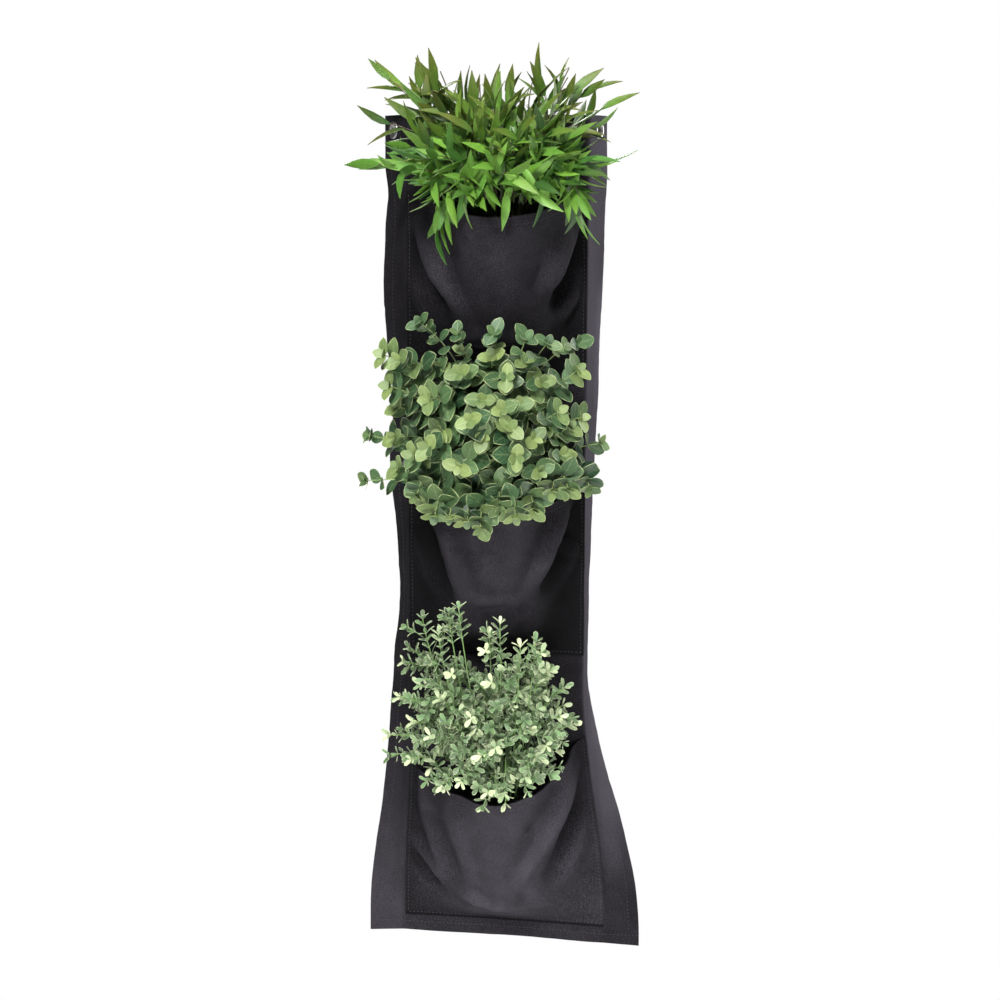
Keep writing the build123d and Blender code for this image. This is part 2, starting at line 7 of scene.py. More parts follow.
import bpy
import numpy as np
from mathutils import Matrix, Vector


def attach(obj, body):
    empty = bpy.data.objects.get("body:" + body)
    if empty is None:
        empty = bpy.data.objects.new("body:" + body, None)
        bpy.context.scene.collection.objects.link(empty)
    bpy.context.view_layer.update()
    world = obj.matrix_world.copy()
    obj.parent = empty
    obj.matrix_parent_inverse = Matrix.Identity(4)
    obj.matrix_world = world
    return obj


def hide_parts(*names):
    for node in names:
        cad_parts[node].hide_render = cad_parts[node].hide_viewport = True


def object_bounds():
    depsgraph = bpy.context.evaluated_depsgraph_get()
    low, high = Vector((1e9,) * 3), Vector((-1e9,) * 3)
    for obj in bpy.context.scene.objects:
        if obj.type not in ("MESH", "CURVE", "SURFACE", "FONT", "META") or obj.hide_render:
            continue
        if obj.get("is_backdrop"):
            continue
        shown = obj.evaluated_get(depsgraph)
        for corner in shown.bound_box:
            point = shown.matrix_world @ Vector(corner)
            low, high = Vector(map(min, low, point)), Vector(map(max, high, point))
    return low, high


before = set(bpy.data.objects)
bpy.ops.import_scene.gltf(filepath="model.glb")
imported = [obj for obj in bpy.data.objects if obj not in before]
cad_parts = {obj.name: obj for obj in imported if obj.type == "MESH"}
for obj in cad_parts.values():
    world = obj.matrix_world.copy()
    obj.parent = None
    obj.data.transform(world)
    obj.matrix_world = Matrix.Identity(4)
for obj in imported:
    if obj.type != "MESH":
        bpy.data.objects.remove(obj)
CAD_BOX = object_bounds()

Array = np.ndarray
Colour = tuple[float, float, float, float]
Point = tuple[float, float, float]

LOG = logging.getLogger("planter")
MM = 0.001
FULL_TURN = 2 * math.pi
# Upper end of the draws for an angle that may be any.
ANY_TURN = 6.3
# Foliage may stand this far in front of the CAD model, in millimetres.
FRONT_ROOM = 12.0
FRONT_LIMIT = CAD_BOX[0][1] / MM - FRONT_ROOM
# Ripples of the cloth: how many waves, how far their directions stray and what evens out their height.
WAVE_COUNT = 14
WAVE_SPREAD = 1.6
WAVE_SCALE = 1.6
# Edges sharper than these stay sharp, in degrees.
CLOTH_EDGE = 55.0
COPY_EDGE = 50.0
UV_MAP = "UVMap"
# A y behind everything, in millimetres.
FAR_BACK = 1000.0
# Material slot of the stems, after that of the leaves.
STEM_SLOT = 1
# Directions that no stem follows, to find one square to a stem.
TUBE_REFERENCE = np.array([0.3, 0.9, 0.1])
LEAF_REFERENCE = np.array([0.31, 0.27, 0.91])


class Named(Enum):
    """Choice whose name is part of node names."""

    @property
    def word(self) -> str:
        """Name in lower case."""
        return self.name.lower()


class Species(Named):
    """The plants, from the upper pocket to the lower one."""

    BAMBOO = 0
    EUCALYPTUS = 1
    BOXWOOD = 2


class Level(Named):
    """The pockets from top to bottom."""

    UPPER = 0
    MIDDLE = 1
    LOWER = 2


class Side(Enum):
    """The two sides as seen from the front."""

    LEFT = -1
    RIGHT = 1


def smooth(t: Array | float) -> Array:
    """Step from 0 to 1 with level ends, cut off below and above."""
    t = np.clip(t, 0.0, 1.0)
    return t * t * (3.0 - 2.0 * t)


def unit(v: Array) -> Array:
    """Vectors of length one along the last axis."""
    return v / np.maximum(np.linalg.norm(v, axis=-1, keepdims=True), 1e-9)


def ripples(x: Array, z: Array, seed: int, waves: tuple[float, float], lean: float = 0.0) -> Array:
    """Uneven swell made of plane waves, about one high.

    Args:
        x: Places across, in millimetres.
        z: Places along, in millimetres.
        seed: Which pattern.
        waves: Shortest and longest wave.
        lean: Main direction of the crests, in radians from vertical.

    Returns:
        Heights.
    """
    dice = np.random.default_rng(seed)
    total = np.zeros(np.broadcast(x, z).shape)
    for _ in range(WAVE_COUNT):
        length = math.exp(dice.uniform(math.log(waves[0]), math.log(waves[1])))
        turn = lean + dice.uniform(-WAVE_SPREAD, WAVE_SPREAD)
        along = x * math.cos(turn) + z * math.sin(turn)
        total += length * np.sin(2 * np.pi / length * along + dice.uniform(0, ANY_TURN))
    return total / (waves[1] * WAVE_SCALE)


class Shade:
    """A value in a node tree that can be reckoned with like a number."""

    def __init__(self, tree: bpy.types.NodeTree, socket: Any = None) -> None:
        """Hold an output socket of a node tree, or none as a way into the tree."""
        self.tree = tree
        self.socket = socket

    def node(
        self, kind: str, values: dict[Any, Any] | None = None, out: int | str = 0, **settings: Any
    ) -> "Shade":
        """Add any node.

        Args:
            kind: Node type.
            values: Numbers or other values for its input sockets.
            out: Which output to return.
            **settings: Properties of the node.

        Returns:
            One of the new node's outputs.
        """
        made = self.tree.nodes.new(kind)
        for name, value in settings.items():
            setattr(made, name, value)
        for name, value in (values or {}).items():
            self.feed(made.inputs[name], value)
        return Shade(self.tree, made.outputs[out])

    def feed(self, target: Any, value: Any) -> None:
        """Link a value to a socket, or set a plain one on it.

        Args:
            target: Input socket.
            value: Another Shade or a plain value.
        """
        if isinstance(value, Shade):
            self.tree.links.new(value.socket, target)
        else:
            target.default_value = value

    def other(self, out: int | str) -> "Shade":
        """Another output of the same node."""
        return Shade(self.tree, self.socket.node.outputs[out])

    def reckon(self, operation: str, a: Any, b: Any = 0.0) -> "Shade":
        """One step of arithmetic on two values."""
        return self.node("ShaderNodeMath", {0: a, 1: b}, operation=operation)

    def __add__(self, b: Any) -> "Shade":
        """Sum of two values."""
        return self.reckon("ADD", self, b)

    __radd__ = __add__

    def __sub__(self, b: Any) -> "Shade":
        """This value less another."""
        return self.reckon("SUBTRACT", self, b)

    def __rsub__(self, a: Any) -> "Shade":
        """A number less this value."""
        return self.reckon("SUBTRACT", a, self)

    def __mul__(self, b: Any) -> "Shade":
        """Product of two values."""
        return self.reckon("MULTIPLY", self, b)

    __rmul__ = __mul__

    def __abs__(self) -> "Shade":
        """Size of the value."""
        return self.reckon("ABSOLUTE", self)

    def sine(self) -> "Shade":
        """Sine of the value."""
        return self.reckon("SINE", self)

    def swing(self, share: float) -> "Shade":
        """A share of the value's distance from one half."""
        return (self - 0.5) * share

    def step(self, low: float, high: float) -> "Shade":
        """Soft step from 0 at low to 1 at high."""
        values = {"Value": self, "From Min": low, "From Max": high}
        return self.node("ShaderNodeMapRange", values, interpolation_type="SMOOTHSTEP")

    def mix(self, a: Any, b: Any) -> "Shade":
        """Colour between two others, this value being the share of the second."""
        return self.node("ShaderNodeMix", {0: self, 6: a, 7: b}, out=2, data_type="RGBA")

    def noise(self, scale: float, detail: float = 3.0, roughness: float = 0.55) -> "Shade":
        """Noise at this place, around one half, with so many waves per metre and octaves."""
        values = {"Vector": self, "Scale": scale, "Detail": detail, "Roughness": roughness}
        return self.node("ShaderNodeTexNoise", values)

    def bump(self, strength: float, distance: float) -> "Shade":
        """Normal of a surface with this height, one unit of which is so many metres."""
        return self.node("ShaderNodeBump", {"Strength": strength, "Distance": distance, "Height": self})

    def place(self) -> "Shade":
        """The piece's own coordinates, in metres."""
        return self.node("ShaderNodeTexCoord", out="Object")

    def unrolled(self) -> "Shade":
        """Places on the piece's UV map."""
        return self.node("ShaderNodeUVMap", uv_map=UV_MAP)

    def stretched(self, scale: Point) -> "Shade":
        """This place with each axis scaled."""
        return self.node("ShaderNodeMapping", {"Vector": self, "Scale": scale})

    def split(self) -> tuple["Shade", "Shade", "Shade"]:
        """The three parts of this vector."""
        x = self.node("ShaderNodeSeparateXYZ", {0: self})
        return x, x.other(1), x.other(2)


@dataclass(frozen=True)
class Finish:
    """A material. Its constants go on the shader, and dress works out what varies."""

    name: str
    roughness: float = 0.6
    constants: tuple[tuple[str, Any], ...] = ()

    def build(self) -> bpy.types.Material:
        """Make the material.

        Returns:
            The material.
        """
        made = bpy.data.materials.new(self.name)
        made.use_nodes = True
        shader = made.node_tree.nodes["Principled BSDF"]
        start = Shade(made.node_tree)
        for socket, value in (("Roughness", self.roughness), *self.constants, *self.dress(start).items()):
            start.feed(shader.inputs[socket], value)
        return made

    def dress(self, start: Shade) -> dict[str, Shade]:
        """What the shader's sockets get, by name, from a way into the node tree."""
        raise NotImplementedError


@dataclass(frozen=True)
class ClothFinish(Finish):
    """Black plain-woven polyester with a faint sheen, mapped in metres along its threads."""

    # Colours at no and at full painted light; uneven dye, weave, lint and grain also move the tone between
    # them.
    colour: Colour = (0.0022, 0.0020, 0.0024, 1.0)
    pale: Colour = (0.0720, 0.0650, 0.0795, 1.0)
    pitch: float = 0.0007
    thread_stretch: Point = (9.0, 1.0, 1.0)
    relief: float = 0.00022

    def dress(self, start: Shade) -> dict[str, Shade]:
        """Weave, uneven dye, lint, and painted light and shade.

        Args:
            start: Way into the node tree.

        Returns:
            What the shader's sockets get, by name.
        """
        at = start.unrolled()
        across, along, _ = at.split()
        turn = FULL_TURN / self.pitch
        weave = (across * turn).sine() * (along * turn).sine()
        ribs = (along * (turn / 2)).sine() * 0.25
        slub = at.stretched(self.thread_stretch).noise(120.0, 2.0)
        cloudy = at.noise(26.0, 4.0)
        lint = at.noise(900.0, 2.0, 0.7).step(0.66, 0.78)
        grain = at.noise(700.0, 2.0, 0.6)
        # Painted light and shade, stored for each point: paler on fronts, ridges and the right margin,
        # darker in folds, recesses and under the pockets' bellies.
        painted_light = start.node("ShaderNodeAttribute", attribute_name="painted_light", out="Fac")
        tone_and_painted_light = cloudy.swing(0.22) + slub.swing(0.26) + painted_light * 0.88 + 0.01
        shade = tone_and_painted_light + weave * 0.05 + lint * 0.15 + grain.swing(0.6)
        height = weave * 0.6 + ribs + slub * 0.5 + cloudy * 2.0
        return {
            "Base Color": shade.step(0.0, 1.0).mix(self.colour, self.pale),
            "Roughness": self.roughness + cloudy.swing(0.22) + weave * 0.05,
            "Normal": height.bump(0.45, self.relief),
        }


@dataclass(frozen=True)
class ThreadFinish(Finish):
    """Twisted sewing thread."""

    colour: Colour = (0.018, 0.017, 0.019, 1.0)
    # Painted shade in the grooves between the plies.
    painted_groove_shade: Colour = (0.008, 0.007, 0.008, 1.0)
    plies: float = 9000.0
    relief: float = 0.0001

    def dress(self, start: Shade) -> dict[str, Shade]:
        """Twist of the plies with painted shade in the grooves between them, and a little fluff.

        Args:
            start: Way into the node tree.

        Returns:
            What the shader's sockets get, by name.
        """
        at = start.place()
        x, y, z = at.split()
        twist = ((x + y + z) * self.plies).sine()
        fluff = at.noise(2500.0, 2.0)
        return {
            "Base Color": (twist * 0.25 + fluff * 0.7).mix(self.painted_groove_shade, self.colour),
            "Normal": twist.bump(0.4, self.relief),
        }


@dataclass(frozen=True)
class MetalFinish(Finish):
    """Nickel-plated steel with fine scratches and dull patches."""

    colour: Colour = (0.52, 0.51, 0.50, 1.0)
    dull: Colour = (0.30, 0.29, 0.28, 1.0)
    scratch_stretch: Point = (1.0, 1.0, 14.0)
    relief: float = 0.0001

    def dress(self, start: Shade) -> dict[str, Shade]:
        """Dulled plating.

        Args:
            start: Way into the node tree.

        Returns:
            What the shader's sockets get, by name.
        """
        at = start.place()
        patch = at.noise(260.0, 4.0)
        scratch = at.stretched(self.scratch_stretch).noise(700.0)
        return {
            "Base Color": patch.step(0.3, 0.75).mix(self.dull, self.colour),
            "Roughness": 0.2 + patch * 0.18 + scratch * 0.12,
            "Normal": scratch.bump(0.2, self.relief),
        }


@dataclass(frozen=True)
class PlasticFinish(Finish):
    """Moulded black pot plastic with a fine grain."""

    colour: Colour = (0.012, 0.012, 0.013, 1.0)
    dusty: Colour = (0.035, 0.033, 0.031, 1.0)
    relief: float = 0.0002

    def dress(self, start: Shade) -> dict[str, Shade]:
        """Grain and dusty patches.

        Args:
            start: Way into the node tree.

        Returns:
            What the shader's sockets get, by name.
        """
        at = start.place()
        grain = at.noise(1800.0, 2.0)
        dust = at.noise(45.0, 4.0).step(0.45, 0.8)
        return {
            "Base Color": dust.mix(self.colour, self.dusty),
            "Roughness": self.roughness + grain * 0.15 + dust * 0.1,
            "Normal": grain.bump(0.25, self.relief),
        }


@dataclass(frozen=True)
class SoilFinish(Finish):
    """Dark crumbly fill."""

    wet: Colour = (0.012, 0.008, 0.005, 1.0)
    dry: Colour = (0.075, 0.05, 0.03, 1.0)
    crumb_scale: float = 260.0
    relief: float = 0.003

    def dress(self, start: Shade) -> dict[str, Shade]:
        """Crumbs of several sizes.

        Args:
            start: Way into the node tree.

        Returns:
            What the shader's sockets get, by name.
        """
        at = start.place()
        values = {"Vector": at, "Scale": self.crumb_scale, "Randomness": 1.0}
        crumbs = at.node("ShaderNodeTexVoronoi", values)
        clods = at.noise(90.0, 5.0, 0.65)
        return {
            "Base Color": (crumbs * 0.6 + clods * 0.5).step(0.2, 0.9).mix(self.wet, self.dry),
            "Normal": (clods * 1.5 + crumbs).bump(0.9, self.relief),
        }


@dataclass(frozen=True)
class LeafFinish(Finish):
    """Moulded leaf: colours by age, which for the bamboo and eucalyptus also carries painted light on the
    crown's front, a midrib, side veins and a margin of its own colour.
    """

    dark: Colour = (0.03, 0.1, 0.02, 1.0)
    middle: Colour = (0.1, 0.3, 0.03, 1.0)
    young: Colour = (0.3, 0.45, 0.08, 1.0)
    margin: Colour = (0.3, 0.45, 0.08, 1.0)
    tip: Colour = (0.2, 0.13, 0.03, 1.0)
    margin_from: float = 0.8
    margin_share: float = 0.5
    veins: float = 8.0
    vein_slant: float = 2.0
    vein_share: float = 0.3
    relief: float = 0.0004

    def dress(self, start: Shade) -> dict[str, Shade]:
        """Mix the colours over the leaf.

        Args:
            start: Way into the node tree.

        Returns:
            What the shader's sockets get, by name.
        """
        along, over, _ = start.unrolled().split()
        across = abs(over - 0.5) * 2.0
        leaf = start.node("ShaderNodeAttribute", attribute_name="leaf", out="Color")
        tone = leaf.node("ShaderNodeSeparateColor", {0: leaf})
        # The age channel is partly real age, partly painted light on the front of the crown.
        age, dry = tone.other(1), tone.other(2)
        mottle = start.place().noise(240.0)
        body = tone.mix(self.dark, self.middle)
        body = age.step(0.25, 0.95).mix(body, self.young)
        rib = 1.0 - across.step(0.0, 0.16)
        waves = ((along * self.veins - across * self.vein_slant) * math.pi).sine()
        lines = 1.0 - abs(waves).step(0.0, 0.22)
        veined = (rib * 0.8 + lines * (1.0 - rib)) * self.vein_share
        body = veined.mix(body, self.margin)
        outward = across * 0.75 + abs(along - 0.42) * 0.85
        body = (outward.step(self.margin_from, 1.0) * self.margin_share).mix(body, self.margin)
        body = ((along * 0.5 + 0.5).step(0.45, 1.0) * dry).mix(body, self.tip)
        values = {0: body, 3: mottle.swing(0.5) + 1.0}
        return {
            "Base Color": body.node("ShaderNodeVectorMath", values, operation="SCALE"),
            "Roughness": self.roughness + mottle.swing(0.25) + tone * 0.1,
            "Normal": (veined * 2.0 + mottle * 0.3).bump(0.5, self.relief),
        }


@dataclass(frozen=True)
class StemFinish(Finish):
    """Moulded stem, another colour towards its tip; its darker foot, deep in the crown, is partly painted
    shade.
    """

    low: Colour = (0.03, 0.06, 0.015, 1.0)
    high: Colour = (0.12, 0.24, 0.05, 1.0)
    relief: float = 0.0004

    def dress(self, start: Shade) -> dict[str, Shade]:
        """Colour along the stem with fine ridges.

        Args:
            start: Way into the node tree.

        Returns:
            What the shader's sockets get, by name.
        """
        along, _, _ = start.unrolled().split()
        mottle = start.place().noise(300.0)
        return {
            # Darker towards the foot of each stem and twig: partly the stem's own colour, partly painted
            # shade inside the crown.
            "Base Color": (along * 0.8 + mottle.swing(0.6)).step(0.0, 1.0).mix(self.low, self.high),
            "Roughness": self.roughness + mottle.swing(0.2),
            "Normal": mottle.bump(0.3, self.relief),
        }


@dataclass(frozen=True)
class Fold:
    """Soft crease between two places on a piece of cloth, in millimetres."""

    x0: float
    z0: float
    x1: float
    z1: float
    width: float
    depth: float
    fade_in: float = 0.3
    fade_out: float = 0.4
    ridge_off: float = 1.7
    ridge_share: float = 0.45

    def push(self, x: Array, z: Array) -> Array:
        """How far the crease moves the cloth out of its face.

        Args:
            x: Places across.
            z: Places up.

        Returns:
            Moves, inward ones below zero.
        """
        dx, dz = self.x1 - self.x0, self.z1 - self.z0
        length = math.hypot(dx, dz)
        t = ((x - self.x0) * dx + (z - self.z0) * dz) / length**2
        off = ((x - self.x0) * dz - (z - self.z0) * dx) / length / self.width
        fade = smooth(t / self.fade_in) * smooth((1 - t) / self.fade_out)
        ridges = np.exp(-((off - self.ridge_off) ** 2)) + np.exp(-((off + self.ridge_off) ** 2))
        return self.depth * fade * (self.ridge_share * ridges - np.exp(-(off**2)))


def tilted_up(degrees: float) -> Array:
    """Upward direction, tilted to the front."""
    turn = math.radians(degrees)
    return np.array([0.0, -math.sin(turn), math.cos(turn)])


@dataclass(frozen=True)
class Hang:
    """The way the cloth hangs, in the CAD model's frame. Lengths are in millimetres, angles in degrees."""

    cloth: float = 1.0
    seat: float = 0.2
    top: float = 15.0
    height: float = 890.0
    width: float = 297.0
    margin: float = 37.5
    strip: float = 7.5
    flange: float = 6.0
    inset: float = 1.5
    pitch: float = 300.0
    pocket: float = 190.0
    mouth_sag: float = 26.0
    mouth_ease: float = 4.0
    opening_power: float = 0.75
    below: float = 25.0
    head: float = 45.0
    seam_gap: float = 190.0
    eyelet_out: float = 20.0
    margin_turn: float = 58.0
    seam_y: float = -eyelet_out * math.sin(math.radians(margin_turn))
    flare_from: float = 600.0
    flare_wide: float = 32.0
    flare_sway: float = 8.0
    flare_forward: float = 18.0
    flare_slope: float = 0.045
    sag_least: float = 8.0
    sag_more: float = 12.0
    sag_lost: float = 0.8
    wave_turn: float = 9.0
    wave_from: float = 250.0
    wave_over: float = 160.0
    left_waist_turn: float = 8.0
    left_flare_turn: float = 6.0
    right_waist_turn: float = 24.0
    right_flare_turn: float = 8.0
    pot_height: float = 90.0
    pot_shoulder: float = 82.0
    pot_rim: float = 50.0
    pot_neck: float = 47.0
    pot_base: float = 35.0
    pot_stand: float = 38.0
    pot_gap: float = 0.5
    pot_wrap: float = 0.7
    pot_tilt: float = 6.0
    fill_top: float = 80.0
    lift: float = 140.0
    lift_tilt: float = 12.0

    @property
    def bottom(self) -> float:
        """Height of the bottom edge."""
        return self.top - self.height

    @property
    def axis(self) -> Array:
        """Direction of a pot's axis."""
        return tilted_up(self.pot_tilt)

    @property
    def way_out(self) -> Array:
        """Direction in which a pot is lifted."""
        return tilted_up(self.lift_tilt)

    def seam(self, level: Level) -> float:
        """Height of a pocket's bottom seam."""
        return self.bottom + self.below + (Level.LOWER.value - level.value) * self.pitch

    def mouth(self, level: Level) -> float:
        """Height of the middle of a pocket's mouth."""
        return self.seam(level) + self.pocket - self.mouth_sag

    def flare(self, z: Array | float) -> Array:
        """How far the panel has opened out towards its bottom edge, from 0 to 1."""
        return smooth((self.top - z - self.flare_from) / (self.height - self.flare_from - self.below))

    def seams(self, z: Array | float) -> tuple[Array, float, Array, Array]:
        """Where the two side seams are.

        Args:
            z: Heights.

        Returns:
            Left x and y, right x and y.
        """
        flare = self.flare(z)
        half, sway = (self.seam_gap + self.flare_wide * flare) / 2, self.flare_sway * flare
        return sway - half, self.seam_y, sway + half, self.seam_y - self.flare_forward * flare

    def sag(self, z: Array | float) -> Array:
        """How far the panel bellies back between its seams.

        Args:
            z: Heights.

        Returns:
            Depths.
        """
        bump = (1 + np.cos(self.phase(z))) / 2
        last = (self.top - z - self.height + self.below + self.pot_stand) / self.pot_stand
        return (self.sag_least + self.sag_more * bump) * (1 - self.sag_lost * smooth(last))

    def phase(self, z: Array | float) -> Array:
        """Angle that goes round once per pocket, 0 at the middle of a pot."""
        middle = self.seam(Level.UPPER) + self.pot_stand + self.pot_height / 2
        return 2 * np.pi * (z - middle) / self.pitch

    def turns(self, z: Array | float) -> tuple[Array, Array]:
        """How far the margins turn back.

        Args:
            z: Heights.

        Returns:
            Left and right angles, in radians.
        """
        down = self.top - z
        flare = self.flare(z)
        waist = smooth((down - self.head) / (self.flare_from - self.head))
        ways = 2 * smooth((down - self.wave_from) / self.wave_over) - 1
        wave = self.wave_turn * np.cos(self.phase(z)) * smooth((down - self.head) / self.head) * ways
        free = np.clip((down - self.flare_from) / (self.height - self.flare_from), 0, 1)
        left = (self.margin_turn + self.left_waist_turn * waist + wave) * (1 - free**1.6)
        right = (self.margin_turn + self.right_waist_turn * waist) * (1 - free**1.2) ** 0.8
        left = left - self.left_flare_turn * flare
        right = right - self.right_flare_turn * flare**2
        return np.radians(left), np.radians(right)

    def belly(self, x: Array | float, z: Array | float) -> Array:
        """The panel's middle surface between the seams.

        Args:
            x: Places across.
            z: Heights.

        Returns:
            Their y.
        """
        left_x, left_y, right_x, right_y = self.seams(z)
        sag = self.sag(z)
        reach = (right_x - left_x) / 2 - self.strip
        radius = (reach**2 + sag**2) / (2 * sag)
        level = left_y + (x - left_x) / (right_x - left_x) * (right_y - left_y)
        off = np.minimum(np.abs(x - (left_x + right_x) / 2), reach)
        return level + np.sqrt(radius**2 - off**2) - (radius - sag)

    def tilted(self, x: Array, y: Array, z: Array) -> Array:
        """Points in space along the last axis; the cloth's rows slope with the bottom edge."""
        slope = self.flare_slope * smooth((self.top - z - self.flare_from) / (self.height - self.flare_from))
        return np.stack([x, y, z - slope * x], axis=-1)

    def pot_foot(self, level: Level) -> Array:
        """Middle of the base of the pot in a pocket.

        Args:
            level: Which pocket.

        Returns:
            The point.
        """
        z = self.seam(level) + self.pot_stand
        left_x, _, right_x, _ = self.seams(z)
        middle = float((left_x + right_x) / 2)
        a, limits = self.axis, []
        heights = (0, self.pot_shoulder, self.pot_shoulder, self.pot_height)
        for along, off in zip(heights, (self.pot_base, self.pot_neck, self.pot_rim, self.pot_rim)):
            rest = float(self.belly(middle, z + along * a[2] - off * a[1]))
            limits.append(rest - along * a[1] - off * a[2])
        return np.array([middle, min(limits) - self.cloth / 2 - self.pot_gap, z])

    def pot_line(self, level: Level, z: Array | float) -> tuple[float, Array, Array]:
        """The round line that a pocket follows at a height.

        Args:
            level: Which pocket.
            z: Heights.

        Returns:
            Middle x, middle y and radius.
        """
        foot, a = self.pot_foot(level), self.axis
        low_y, low_z = -self.pot_base * a[2], self.pot_base * a[1]
        high_y = self.pot_shoulder * a[1] - self.pot_rim * a[2]
        high_z = self.pot_shoulder * a[2] + self.pot_rim * a[1]
        along = np.maximum((z - foot[2] - low_z) / (high_z - low_z), 0)
        radius = self.pot_base + (self.pot_rim - self.pot_base) * np.minimum(along, 1)
        front = foot[1] + low_y + (high_y - low_y) * along
        over = (z - foot[2] - self.pot_height) / (self.pocket - self.pot_stand - self.pot_height)
        ease = self.mouth_ease * smooth(over)
        return float(foot[0]), front + radius, radius + self.pot_wrap + ease

    def opened(self, level: Level, z: Array | float) -> Array:
        """How far a pocket stands off the panel: 0 on its bottom seam, 1 at the pot."""
        full = self.pot_stand + self.pot_base * self.axis[1] - self.pot_wrap
        return np.clip((z - self.seam(level)) / full, 0, 1) ** self.opening_power


def arc(a: complex, m: complex, b: complex, count: int) -> Array:
    """Points on the circle through three points.

    Args:
        a: First point.
        m: Point in the middle.
        b: Last point.
        count: How many points, both ends among them.

    Returns:
        The points as complex numbers.
    """
    t = np.linspace(0, 1, count)
    u, v = m - a, b - a
    cross = (u.conjugate() * v).imag
    if abs(cross) < 1e-6:
        return a + t * v
    centre = a + 1j * (v * abs(u) ** 2 - u * abs(v) ** 2) / (-2 * cross)
    half, whole = np.angle((m - centre) / (a - centre)), np.angle((b - centre) / (m - centre))
    return centre + (a - centre) * np.exp(1j * (half + whole) * t)


def normals(points: Array) -> Array:
    """Directions to the front of a grid of points whose rows go down and columns to the right."""
    return unit(np.cross(np.gradient(points, axis=0), np.gradient(points, axis=1)))


def relax(points: Array, passes: int, axis: int) -> Array:
    """Soften a grid along one axis and keep its ends.

    Args:
        points: Grid of points.
        passes: How often.
        axis: Along which axis.

    Returns:
        The softened grid.
    """
    p = np.moveaxis(points.copy(), axis, 0)
    for _ in range(passes):
        p[1:-1] = 0.25 * p[:-2] + 0.5 * p[1:-1] + 0.25 * p[2:]
    return np.moveaxis(p, 0, axis)


def at_heights(heights: Array, levels: Array, table: Array) -> Array:
    """Values of each of a table's columns at heights of its own, from the levels of the table's rows."""
    return np.array([np.interp(z, levels, column) for z, column in zip(heights.T, table.T)]).T


def run_of(points: Array, axis: int) -> Array:
    """Length of the lines of a grid along one axis."""
    return np.linalg.norm(np.diff(points, axis=axis), axis=-1).sum(axis=axis)


def primitive(operator: Callable[..., Any], **settings: Any) -> bpy.types.Object:
    """Add a primitive with nothing else selected.

    Args:
        operator: Blender's operator.
        **settings: What it is told.

    Returns:
        The new object.
    """
    bpy.ops.object.select_all(action="DESELECT")
    operator(**settings)
    return bpy.context.object


def select_only(obj: bpy.types.Object) -> None:
    """Make an object the only one that operators act on.

    Args:
        obj: The object.
    """
    bpy.ops.object.select_all(action="DESELECT")
    obj.select_set(True)
    bpy.context.view_layer.objects.active = obj


def apply_modifiers(obj: bpy.types.Object) -> None:
    """Apply every modifier of an object.

    Args:
        obj: The object.
    """
    select_only(obj)
    for modifier in list(obj.modifiers):
        bpy.ops.object.modifier_apply(modifier=modifier.name)


def thicken(obj: bpy.types.Object, thick: float) -> None:
    """Give a sheet its thickness, half of it on either side.

    Args:
        obj: The sheet.
        thick: The thickness, in the sheet's own units.
    """
    solid = obj.modifiers.new("thickness", "SOLIDIFY")
    solid.thickness, solid.offset = thick, 0.0
    apply_modifiers(obj)


def read(items: Any, name: str, width: int) -> Array:
    """Values of a mesh's items.

    Args:
        items: Vertices, or the items of a UV map.
        name: Which property.
        width: Numbers per item.

    Returns:
        One row per item.
    """
    values = np.empty(len(items) * width)
    items.foreach_get(name, values)
    return values.reshape(-1, width)


def grid_object(
    name: str, points: Array, flat: tuple[float, float], thick: float, painted_light: Array
) -> bpy.types.Object:
    """Closed sheet of cloth through a grid of points.

    Args:
        name: Name of the piece.
        points: Rows from the top, columns from the left, in millimetres.
        flat: Width and length of the cloth in metres, for its thread map.
        thick: Thickness in millimetres.
        painted_light: Painted light and shade at each point, from 0 to 1.

    Returns:
        The piece.
    """
    rows, columns = points.shape[:2]
    add = bpy.ops.mesh.primitive_grid_add
    obj = primitive(add, x_subdivisions=columns - 1, y_subdivisions=rows - 1, size=2)
    obj.name = obj.data.name = name
    mesh = obj.data
    old = read(mesh.vertices, "co", 3)
    column = np.rint((old[:, 0] + 1) / 2 * (columns - 1)).astype(int)
    row = np.rint((1 - old[:, 1]) / 2 * (rows - 1)).astype(int)
    mesh.vertices.foreach_set("co", (points[row, column] * MM).ravel())
    threads = mesh.uv_layers.active
    threads.data.foreach_set("uv", (read(threads.data, "uv", 2) * np.array(flat)).ravel())
    threads.name = UV_MAP
    # Stores the painted light and shade that the cloth material mixes into its colour.
    mesh.attributes.new("painted_light", "FLOAT", "POINT").data.foreach_set("value", painted_light[row, column])
    mesh.update()
    thicken(obj, thick * MM)
    bpy.ops.object.shade_smooth_by_angle(angle=math.radians(CLOTH_EDGE))
    return obj


def give(
    obj: bpy.types.Object, material: bpy.types.Material, body: str, nodes: Iterable[str] = ()
) -> None:
    """Dress a piece, attach it to the body that it moves with and hide the CAD nodes that it stands for.

    Args:
        obj: The piece.
        material: Its material.
        body: CAD body that it moves with.
        nodes: CAD nodes that it stands for.
    """
    if not obj.data.materials:
        obj.data.materials.append(material)
    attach(obj, body)
    if nodes:
        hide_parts(*nodes)


